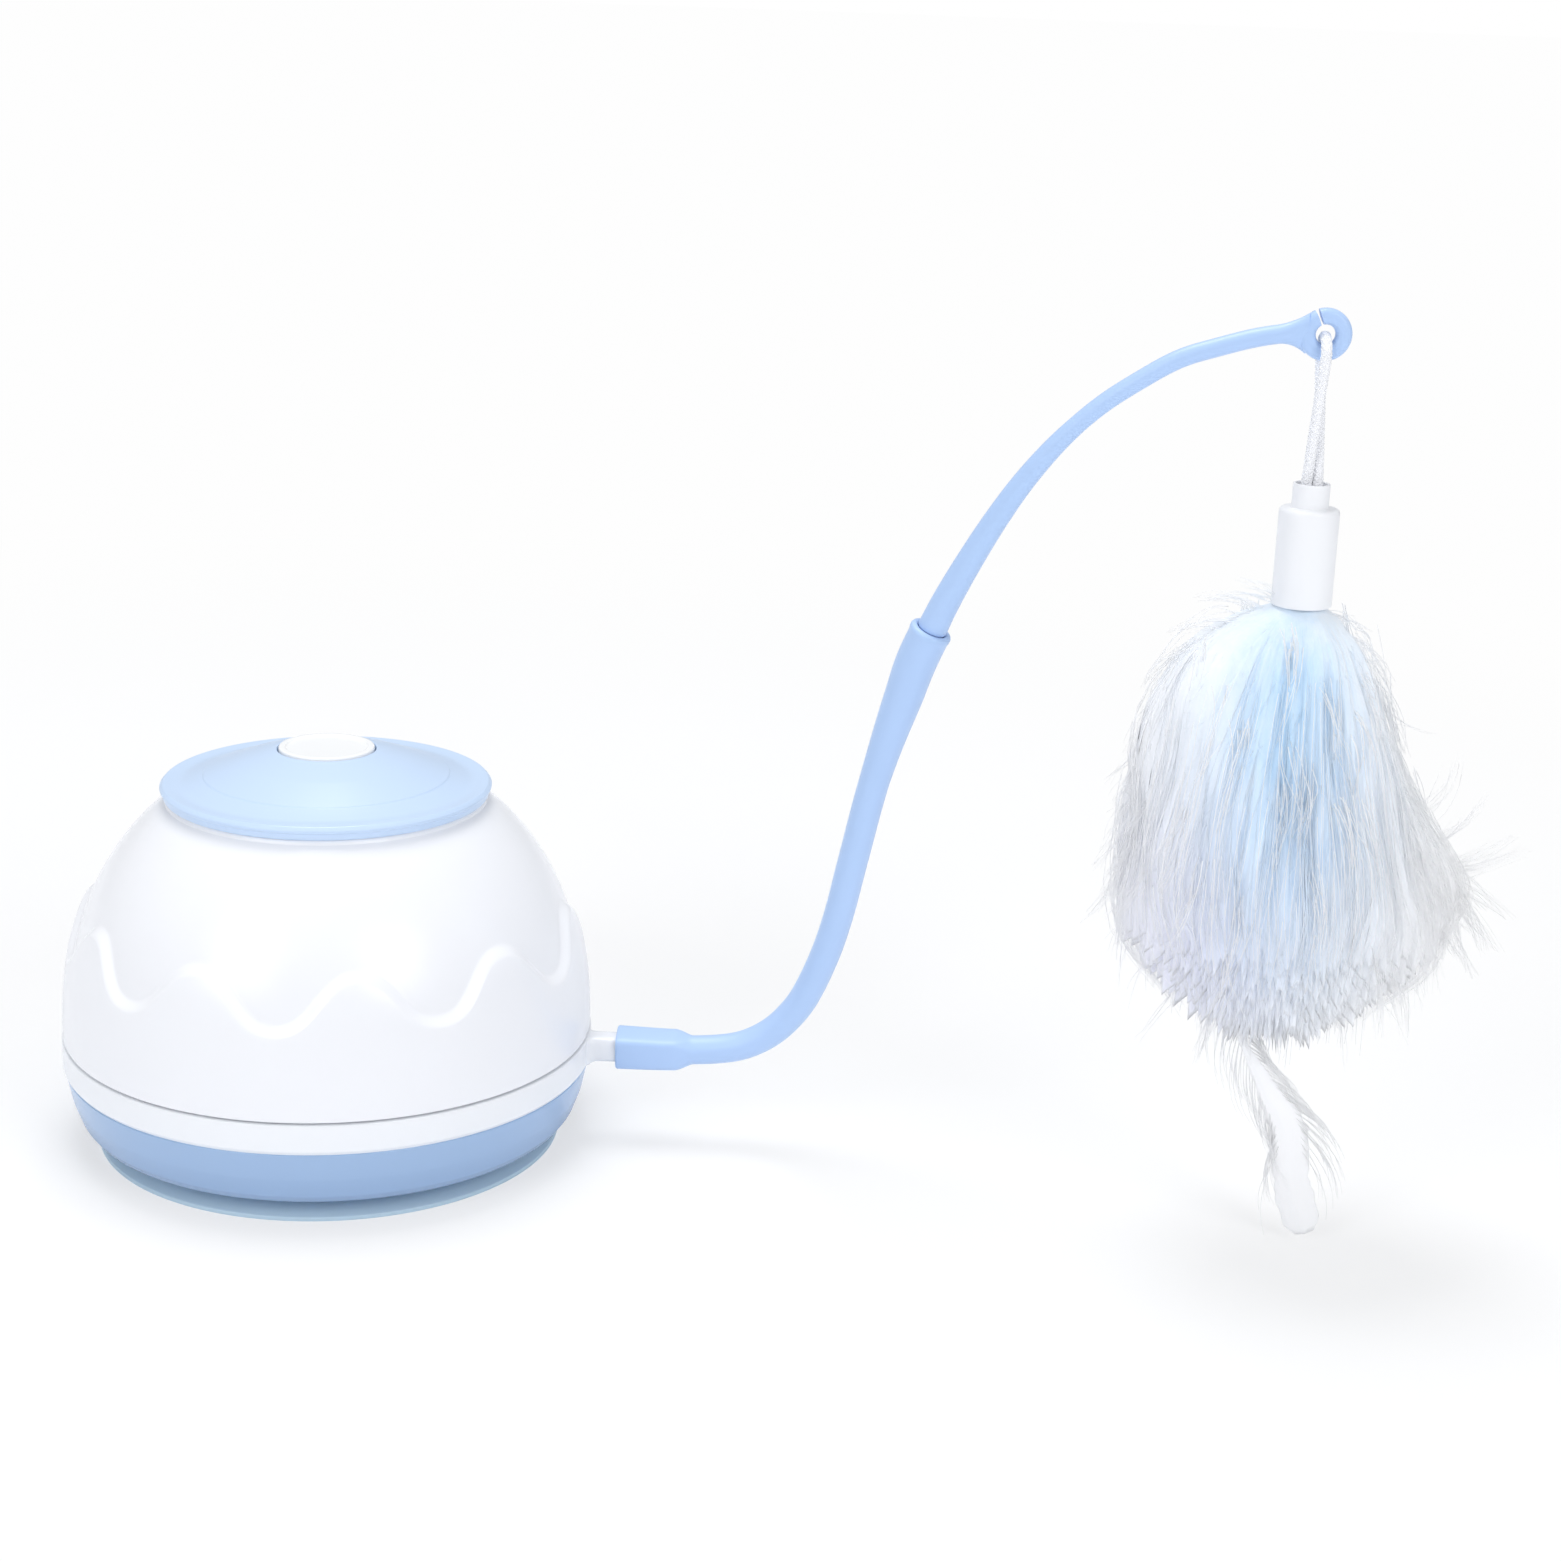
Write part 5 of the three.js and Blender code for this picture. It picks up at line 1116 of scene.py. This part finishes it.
def tube_piece(name, batches):
    """One piece from batches of strand tubes."""
    all_points, all_faces, offset = [], [], 0
    for points, quads, caps in batches:
        all_points.append(points)
        all_faces.extend((quads + offset).tolist())
        all_faces.extend((caps + offset).tolist())
        offset += len(points)
    mesh = bpy.data.meshes.new(name)
    mesh.from_pydata(numpy.concatenate(all_points).tolist(), [], all_faces)
    mesh.polygons.foreach_set("use_smooth", [True] * len(mesh.polygons))
    return placed(name, mesh)


def braided_cord():
    route = Path(through(cord_route(), 10))
    count = 420
    marks = numpy.linspace(0, route.length, count)
    centres = numpy.array([route.at(m) for m in marks])
    along = numpy.array([route.direction(m) for m in marks])
    across = numpy.cross(along, [[1.0, 0.0, 0.0]])
    across /= numpy.linalg.norm(across, axis=1, keepdims=True)
    other = numpy.cross(along, across)
    lay = 5.2 * mm
    each_way = 6
    braid_radius = 0.8 * mm
    weave_depth = 0.03 * mm
    core_radius = 0.86 * mm
    strand_radius = 0.18 * mm
    strands = []
    for turn in (1, -1):
        for k in range(each_way):
            phase = 2 * math.pi * (k + (0.5 if turn < 0 else 0)) / each_way
            angle = phase + turn * 2 * math.pi * marks / lay
            weave = turn * numpy.cos(each_way * 2 * math.pi * marks / lay + math.pi * k)
            radius = braid_radius + weave_depth * weave
            strands.append(centres + radius[:, None] * (
                numpy.cos(angle)[:, None] * across + numpy.sin(angle)[:, None] * other
            ))
    core = strand_tubes([centres], numpy.full((1, count), core_radius), 16)
    braid = strand_tubes(strands, numpy.full((2 * each_way, count), strand_radius), 6)
    return tube_piece("braided_loop", [core, braid]), route


def braid_material():
    material, node, where = node_material("braid")
    fibres = node("TexNoise", {"Vector": where, "Scale": 9000.0, "Detail": 3.0})
    shade = node("ValToRGB", {"Fac": fibres.outputs["Fac"]})
    shade.color_ramp.elements[0].color = srgb(247, 248, 253)
    shade.color_ramp.elements[1].color = srgb(253, 253, 255)
    yarn = node("BsdfPrincipled", {
        "Base Color": shade.outputs["Color"],
        "Roughness": 0.62,
        "Normal": bumpy(node, fibres, 0.2, 0.00003),
        "Sheen Weight": 1.0,
    })
    node("OutputMaterial", {"Surface": yarn.outputs[0]})
    return material


braid, braid_route = braided_cord()
finish_piece(braid, braid_material(), "loop", "cord_white", "cord_loop")
tuple(braid_route.at(0))
[tuple(braid_route.at(braid_route.length * k / 80)) for k in range(81)]

# Lure cap
# White satin ferrule in two steps: the narrow neck takes the cord's ends, the wider body grips
# the bundle of quills.

cap_low, cap_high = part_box("lure_cap")
cap_radius = 5.3 * mm
cap_neck = 3.25 * mm
neck_bottom = cap_high.z - 4.3 * mm
quill_bore = 4.2 * mm
quill_depth = 4.0 * mm
cord_bore = 2.75 * mm
cord_bore_depth = 2.9 * mm

lure_cap = turned("lure_ferrule", [
    (0, cap_low.z + quill_depth, 0),
    (quill_bore, cap_low.z + quill_depth, 0.3 * mm),
    (quill_bore, cap_low.z, 0.2 * mm),
    (cap_radius, cap_low.z, 0.35 * mm),
    (cap_radius, neck_bottom, 0.9 * mm),
    (cap_neck, neck_bottom, 0.25 * mm),
    (cap_neck, cap_high.z, 0.4 * mm),
    (cord_bore, cap_high.z, 0.2 * mm),
    (cord_bore, cap_high.z - cord_bore_depth, 0.3 * mm),
    (0, cap_high.z - cord_bore_depth, 0),
], centre=(hook.x, hook.y), segments=96)
cap_satin = moulded("cap_satin", srgb(249, 250, 253), 0.3, grain=0.25, drift=0.01)
finish_piece(lure_cap, cap_satin, "lure", "cap_white", "lure_cap")

# Feathers
# Soft dyed plumes bound in the cap: white outside, light blue at the heart and lavender low on
# the left. Layers of combed down end in jagged tips, short barbs soften their outline, long hairs
# lie over them and loose wisps stand off all round.


def feather_material(name, dye):
    """Dyed down: blue at the heart, lavender low on the left, white outside, by place.

    Its faint glow is painted light, though the down is no lamp: it stands in for the light that thin down
    lets through, and lifts its shaded sides.
    """
    material, node, where = node_material(name)
    split = node("SeparateXYZ", {"Vector": where})

    def near(axis, middle, width):
        """One at a place along an axis, falling to nothing a width away."""
        offset = node("Math", {0: split.outputs[axis], 1: middle}, operation="SUBTRACT")
        scaled = node("Math", {0: offset.outputs[0], 1: width}, operation="DIVIDE")
        square = node("Math", {0: scaled.outputs[0], 1: 2.0}, operation="POWER")
        falling = node("Math", {0: square.outputs[0], 1: -1.0}, operation="MULTIPLY")
        return node("Math", {0: math.e, 1: falling.outputs[0]}, operation="POWER").outputs[0]

    def product(*values):
        result = values[0]
        for value in values[1:]:
            result = node("Math", {0: result, 1: value}, operation="MULTIPLY").outputs[0]
        return result

    def mixed(share, strength, first, second):
        clamped = node("Math", {0: share, 1: strength}, operation="MULTIPLY", use_clamp=True)
        return node("Mix", {"Factor": clamped.outputs[0], 6: first, 7: second}, data_type="RGBA").outputs[2]

    drawn_out = node("VectorMath", {0: where, 1: (1.0, 1.0, 0.09)}, operation="MULTIPLY").outputs[0]
    streaks = node("TexNoise", {"Vector": drawn_out, "Scale": 420.0, "Detail": 5.0, "Roughness": 0.6})
    hairlines = node("TexNoise", {"Vector": drawn_out, "Scale": 1500.0, "Detail": 3.0, "Roughness": 0.7})
    uneven = node("MapRange", {
        "Value": streaks.outputs["Fac"],
        "From Min": 0.3,
        "From Max": 0.7,
        "To Min": 0.7,
        "To Max": 1.15,
    }).outputs["Result"]
    low_left = product(near("X", 0.166, 0.014), near("Z", 0.064, 0.024), uneven)
    wide = product(near("X", 0.179, 0.0175), near("Z", 0.09, 0.036), uneven)
    heart = product(near("X", 0.1785, 0.0095), near("Z", 0.107, 0.021), uneven)
    shade = mixed(low_left, 0.9 * dye, srgb(253, 253, 255), srgb(238, 236, 254))
    shade = mixed(wide, dye, shade, srgb(203, 227, 252))
    shade = mixed(heart, dye, shade, srgb(172, 214, 246))
    relief = node("Math", {0: streaks.outputs["Fac"], 1: hairlines.outputs["Fac"]}, operation="ADD")
    combed = node("Bump", {"Height": relief.outputs[0], "Strength": 0.3, "Distance": 0.00025})
    barb = node("BsdfPrincipled", {
        "Base Color": shade,
        "Roughness": 0.8,
        "Specular IOR Level": 0.1,
        "Sheen Weight": 1.0,
        "Sheen Roughness": 0.8,
        # Painted light: a faint even white glow over all the down.
        "Emission Color": (1.0, 1.0, 1.0, 1.0),
        "Emission Strength": 0.075,
        "Normal": combed.outputs["Normal"],
    })
    node("OutputMaterial", {"Surface": barb.outputs[0]})
    return material


random = numpy.random.default_rng(7)
bunch_axis = numpy.array([hook.x, hook.y, 0.0])
bunch_heights = numpy.array([36, 44, 52, 60, 70, 80, 90, 100, 110, 117, 120.5, 122.8]) * mm
reach_left = numpy.array([7, 14, 20, 27, 30.5, 30.5, 29.5, 27.5, 24.5, 19.5, 14, 6]) * mm
reach_right = numpy.array([5, 12, 22, 31, 34.5, 30, 23.5, 18.5, 14.5, 11.5, 9, 5]) * mm
bunch_depth = 0.78
quill_pack = 3.0 * mm


def each(count):
    """A random share of one for each of many strands."""
    return random.random((count, 1))


def each_swing(count):
    """A random number on either side of nought for each of many strands."""
    return random.normal(size=(count, 1))


def bunch_reach(azimuth, height):
    """How far the bunch stands out from the cap's axis, wide at the sides and less in front.

    The mean of five heights softens the corners of the two outlines.
    """
    reach = 0.0
    toward = numpy.cos(azimuth)
    for offset in (-3.0 * mm, -1.5 * mm, 0.0, 1.5 * mm, 3.0 * mm):
        left = numpy.interp(height + offset, bunch_heights, reach_left)
        right = numpy.interp(height + offset, bunch_heights, reach_right)
        front = bunch_depth * (left + right) / 2
        reach = reach + (front + (numpy.where(toward > 0, right, left) - front) * toward ** 2) / 5
    uneven = 0.035 * numpy.sin(3 * azimuth + height / (11 * mm))
    uneven = uneven + 0.03 * numpy.sin(5 * azimuth - height / (7 * mm))
    reach = reach * (1 + uneven + 0.025 * numpy.sin(8 * azimuth + height / (5 * mm)))
    held = numpy.clip((cap_low.z + 0.2 * mm - height) / (2.4 * mm), 0, 1)
    return quill_pack + (reach - quill_pack) * numpy.sqrt(held)


def around(azimuth, reach, height):
    """Points about the cap's axis from azimuths, reaches and heights."""
    azimuth, reach, height = numpy.broadcast_arrays(azimuth, reach, height)
    across, deep = reach * numpy.cos(azimuth), reach * numpy.sin(azimuth)
    return bunch_axis + numpy.stack([across, deep, height], axis=-1)


def tip_height(fullness):
    """Where down at a share of the bunch's reach ends: the middle hangs lowest."""
    return numpy.interp(fullness, [0.2, 0.5, 0.8, 1.0], [39 * mm, 47 * mm, 56 * mm, 64 * mm])


def hanging_reach(azimuth, height, fullness):
    """Follows the bunch while it widens, and hangs straight below its widest part."""
    widest = 66 * mm
    return bunch_reach(azimuth, numpy.maximum(height, widest)) * fullness


def combed_strands(count, starts, fullnesses, thickness, uneven=2.5 * mm):
    """Fine strands that lie along the bunch and end in its lower edge.

    They start between two heights, and lie between two shares of the bunch's reach.
    """
    steps = numpy.linspace(0, 1, 11)[None]
    azimuth = 2 * math.pi * each(count)
    fullness = fullnesses[0] + (fullnesses[1] - fullnesses[0]) * each(count) ** 0.6
    start = starts[0] + (starts[1] - starts[0]) * each(count)
    edge = tip_height(fullness) + uneven * each_swing(count)
    longest = (26 + 16 * each(count)) * mm
    height = start - (start - numpy.maximum(edge, start - longest)) * steps
    angle = azimuth + 0.09 * each_swing(count) * steps ** 2
    angle = angle + 0.015 * numpy.sin(5 * steps + 6 * each(count))
    radii = thickness * numpy.sin(math.pi * (0.04 + 0.92 * steps)) ** 0.6 * (0.6 + 0.7 * each(count))
    return strand_tubes(around(angle, hanging_reach(angle, height, fullness), height), radii)


def down_body(fullness, top, tips, columns, rows, furrow_depth):
    """Combed down as one closed form, furrowed along and ending in a jagged edge of lock tips."""
    azimuth = -numpy.linspace(0, 2 * math.pi, columns, endpoint=False)[None]
    mean_notch = 0.6
    notches = 0.0
    for locks, depth in ((7, 1.6), (23, 1.6), (61, 2.2), (113, 2.4)):
        lobes = numpy.abs(numpy.sin(locks * azimuth / 2 + 7 * random.random()))
        notches = notches + depth * mm * (lobes - mean_notch)
    level = numpy.linspace(0, 1, rows)[:, None]
    height = top + (tips + notches - top) * level
    furrows = 0.0
    for waves, share in ((19, 0.9), (33, 0.7), (58, 0.6), (87, 0.4)):
        phase = 2 * math.pi * random.random()
        drift = 0.12 * numpy.sin(height / (23 * mm) + phase)
        strength = 0.6 + 0.4 * numpy.sin(height / (7 * mm) + 3 * phase)
        furrows = furrows + share * numpy.sin(waves * (azimuth + drift) + phase) * strength
    below_cap = numpy.clip((cap_low.z - height) / (9 * mm), 0, 1)
    reach = hanging_reach(azimuth, height, fullness) + furrow_depth * furrows * below_cap
    reach -= (0.2 * notches + 0.6 * mm) * level ** 3
    rings = [around(azimuth, reach, height)]
    for share, rise in ((0.8, 3 * mm), (0.1, 8 * mm)):
        rings.append(around(azimuth, share * reach[-1], height[-1] + rise))
    return closed_tubes(numpy.concatenate(rings)[None])


def short_barbs(count, longest):
    """Short fine barbs that stand off the bunch all over and soften its outline."""
    steps = numpy.linspace(0, 1, 6)[None]
    azimuth = 2 * math.pi * each(count)
    start = (54 + 68 * each(count) ** 0.9) * mm
    length = longest * (0.5 + 0.7 * each(count))
    opening = 0.25 + 0.75 * each(count) ** 1.5
    turned_aside = 0.12 * each_swing(count)
    height = start - length * numpy.cos(opening) * steps - 0.12 * length * steps ** 2
    first_reach = 0.93 * bunch_reach(azimuth, start)
    out = first_reach + length * numpy.sin(opening) * steps * (1 - 0.3 * steps)
    radii = 0.062 * mm * (1 - 0.8 * steps ** 1.5) * (0.7 + 0.6 * each(count))
    return strand_tubes(around(azimuth + turned_aside * steps, out, height), radii)


down = feather_material("dyed_down_painted_glow", 1.0)
held_top = cap_low.z + 1.5 * mm
skirt_top = 80 * mm
furrow = 0.26 * mm
# Each skirt's share of the bunch's reach, and its tips' height in millimetres.
skirts = [(0.87, 60.5), (0.81, 58), (0.74, 55.5), (0.66, 53), (0.57, 50.5), (0.47, 48), (0.36, 45.5)]
layers = [down_body(0.93, held_top, 63 * mm, columns=600, rows=72, furrow_depth=furrow)]
for fullness, tips in skirts:
    layers.append(down_body(fullness, skirt_top, tips * mm, columns=600, rows=22, furrow_depth=furrow))
layers.append(combed_strands(500, (80 * mm, 121 * mm), (0.93, 0.95), thickness=0.11 * mm))
layers.append(combed_strands(420, (68 * mm, 90 * mm), (0.4, 0.97), thickness=0.085 * mm, uneven=4 * mm))
layers.append(short_barbs(900, longest=8 * mm))
finish_piece(tube_piece("outer_plumes", layers), down, "lure", "feather_white", "outer_feathers")

core = [down_body(0.25, held_top, 43 * mm, columns=240, rows=48, furrow_depth=0.2 * mm)]
core.append(combed_strands(120, (66 * mm, 80 * mm), (0.2, 0.6), thickness=0.12 * mm))
finish_piece(tube_piece("inner_plumes", core), down, "lure", "feather_blue", "inner_feathers")


def long_hairs(count):
    """Long fine hairs combed down over the layers, loose at their lower ends."""
    steps = numpy.linspace(0, 1, 10)[None]
    lowest_mm = 46
    azimuth = 2 * math.pi * each(count)
    start = (70 + 44 * each(count)) * mm
    tip = (lowest_mm + 0.35 * (start / mm - lowest_mm) * each(count)) * mm
    height = start - (start - tip) * steps
    drawn = bunch_reach(azimuth, numpy.maximum(height, 48 * mm))
    lift = 0.95 + 0.03 * each(count) + 0.04 * each_swing(count) * steps ** 2
    curve = azimuth + 0.1 * each_swing(count) * steps ** 2
    curve = curve + 0.02 * numpy.sin(6 * steps + 6 * each(count))
    radii = 0.075 * mm * (1 - 0.8 * steps ** 2) * (0.7 + 0.6 * each(count))
    return strand_tubes(around(curve, drawn * lift + 0.5 * mm, height), radii)


def wisp(base, tip, count, spread, bow):
    """Strands that leave the bunch together and close up into one soft point."""
    steps = numpy.linspace(0, 1, 9)[None, :, None]
    base = bunch_axis + numpy.array(base) * mm
    chord = bunch_axis + numpy.array(tip) * mm - base
    bend = numpy.cross(chord, [0.0, 1.0, 0.0])
    bend *= bow / (numpy.linalg.norm(bend) + 1e-9) * numpy.linalg.norm(chord)
    starts = base + spread * mm * random.normal(size=(count, 1, 3)) * [1.0, 0.8, 1.0]
    ends = base + chord * (1 - 0.35 * random.random((count, 1, 1)) ** 1.5)
    ends = ends + 0.5 * mm * random.normal(size=(count, 1, 3))
    bowed = bend * numpy.sin(math.pi * steps) * (0.7 + 0.6 * random.random((count, 1, 1)))
    curled = 0.35 * mm * random.normal(size=(count, 1, 3)) * numpy.sin(2 * math.pi * steps)
    radii = 0.1 * mm * (1 - 0.8 * steps[..., 0] ** 1.5) * (0.7 + 0.6 * each(count))
    return strand_tubes(starts + (ends - starts) * steps + bowed + curled, radii)


# Each wisp leaves the bunch at its first place and ends at its second, out from the cap's axis,
# to the front or back, and up, in millimetres. Then come its strands, its spread and its bow.
wisps = [
    ((-3, 0, 121), (-12, -2, 128), 10, 1.0, -0.15), ((-4, 0, 121), (-19.6, 1, 123.8), 14, 1.2, -0.1),
    ((-10, -2, 120), (-23.4, -1, 117.9), 14, 1.5, -0.08), ((-17, 0, 117), (-26.4, 2, 106.8), 14, 2.0, -0.06),
    ((-21, -2, 104), (-29.4, -3, 87.9), 16, 2.2, -0.04), ((-23, 2, 95), (-31.1, 3, 82.3), 12, 2.2, 0.05),
    ((-24, 0, 84), (-33.9, 0, 62.7), 24, 2.6, 0.06), ((-22, -4, 76), (-27.7, -4, 59.8), 16, 2.0, 0.06),
    ((-17, -5, 68), (-21.8, -5, 52.7), 16, 2.0, 0.04), ((-13, -4, 60), (-12.2, -4, 37.1), 14, 1.6, 0.1),
    ((-14, 0, 58), (-23.7, 0, 37.6), 4, 0.8, 0.05), ((3, 0, 121), (13.2, 1, 119.1), 10, 1.2, 0.12),
    ((8, -1, 118), (17.5, 0, 110.0), 12, 1.5, 0.1), ((12, 0, 112), (21.6, 1, 96.1), 12, 1.8, 0.06),
    ((15, 0, 106), (27.1, 0, 101.2), 3, 0.4, -0.08), ((20, 0, 84), (32.0, 1, 97.4), 10, 1.4, -0.16),
    ((22, 0, 78), (37.0, 0, 90.1), 14, 1.6, -0.12), ((22, -1, 76), (42.4, -2, 83.6), 16, 1.6, -0.1),
    ((23, 1, 74), (46.0, 2, 79.6), 16, 1.6, -0.08), ((22, 2, 75), (45.0, 3, 65.5), 20, 2.2, 0.1),
    ((21, -2, 74), (41.1, -3, 61.4), 22, 2.4, 0.1), ((20, -4, 72), (37.2, -4, 56.8), 22, 2.4, 0.1),
    ((17, -6, 66), (27.2, -6, 53.3), 18, 2.2, 0.08), ((14, -7, 62), (23.4, -7, 51.3), 14, 2.0, 0.06),
    ((9, -5, 58), (15.4, -5, 36.5), 5, 1.0, 0.06), ((6, -6, 60), (12.8, -6, 45.6), 14, 1.6, 0.05),
    ((2, -4, 58), (2.6, -4, 39.1), 14, 1.6, 0.03),
]
golden_share = 0.618
for k in range(64):
    azimuth = 2 * math.pi * (k * golden_share % 1)
    height = 60 + 58 * random.random()
    reach = float(bunch_reach(azimuth, height * mm)) / mm
    out = numpy.array((math.cos(azimuth), math.sin(azimuth)))
    base, end = out * reach * 0.86, out * (reach + 2.5 + 2 * random.random())
    wisps.append(((*base, height + 4), (*end, height - 8 - 6 * random.random()), 10, 1.3, 0.06))
white_down_painted_glow = feather_material("white_down_painted_glow", 0.25)
loose_wisps = tube_piece("loose_wisps", [long_hairs(320), *(wisp(*settings) for settings in wisps)])
finish_piece(loose_wisps, white_down_painted_glow, "lure", "feather_white")


def lens_blade(centres, across, half):
    """A closed blade with a lens for its section: crowned over its middle, thin at its edges."""
    thickness = 0.5 * mm
    sag = 0.05 / mm
    columns = 15
    along = numpy.gradient(centres, axis=0)
    along /= numpy.linalg.norm(along, axis=1, keepdims=True)
    outward = numpy.cross(along, across)
    u = numpy.sin(numpy.linspace(math.pi / 2, -math.pi / 2, columns))
    crown = 1 - u ** 2
    combing = 0.15 * random.normal(size=columns) * crown
    beside = half[:, None] * u
    bowed = sag * beside ** 2
    middle = centres[:, None] + across[:, None] * beside[..., None]
    outer = middle + outward[:, None] * (thickness * (crown + combing) - bowed)[..., None]
    inner = middle - outward[:, None] * (0.8 * thickness * crown + bowed)[..., None]
    return numpy.concatenate([outer, inner[:, -2:0:-1]], axis=1)


def tail_plume():
    """One long slim feather that hangs out of the bunch, with curled down at its root."""
    low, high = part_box("tail_feather")
    line = numpy.array(through([
        (hook.x - 3.0 * mm, hook.y, 74 * mm),
        (hook.x - 6.5 * mm, hook.y, 56 * mm),
        (hook.x - 4.0 * mm, hook.y, 42 * mm),
        (hook.x + 1.5 * mm, hook.y, 32 * mm),
        (hook.x + 6.2 * mm, hook.y, 24 * mm),
        (hook.x + 8.2 * mm, hook.y, 12 * mm),
        (high.x - 1.8 * mm, hook.y, low.z + 0.6 * mm),
    ], 9))
    share = numpy.linspace(0, 1, len(line))
    along = numpy.gradient(line, axis=0)
    across = numpy.cross(along, [0.0, 1.0, 0.0])
    across /= numpy.linalg.norm(across, axis=1, keepdims=True)
    rounded_end = numpy.clip((1.02 - share) * 14, 0, 1) ** 0.5
    half = (0.8 + 2.7 * ease((share - 0.36) / 0.3)) * mm * rounded_end
    half *= 1 + 0.06 * random.normal(size=len(line))
    blade = lens_blade(line, across, half)
    count = 220
    root = 6 + (len(line) - 20) * random.random(count) ** 1.2
    row = root.astype(int)
    side = numpy.where(random.random(count) > 0.5, 1.0, -1.0)[:, None]
    along /= numpy.linalg.norm(along, axis=1, keepdims=True)
    length = (9 + 7 * each(count)) * mm
    forward = each_swing(count) * 0.12
    steps = numpy.linspace(0, 1, 8)
    paths = []
    for step in steps:
        beside = half[row][:, None] * 0.6 + length * 0.3 * math.sin(1.9 * step)
        down_along = length * along[row] * step
        aside = length * forward * step * numpy.array([0.0, 1.0, 0.0])
        paths.append(line[row] + side * across[row] * beside + down_along + aside)
    radii = numpy.repeat([0.1 * mm * (1 - 0.8 * steps ** 1.5)], count, axis=0)
    return [closed_tubes(blade[None]), strand_tubes(numpy.stack(paths, axis=1), radii)]


tail = tube_piece("tail_plume", tail_plume())
finish_piece(tail, white_down_painted_glow, "lure", "feather_white", "tail_feather")
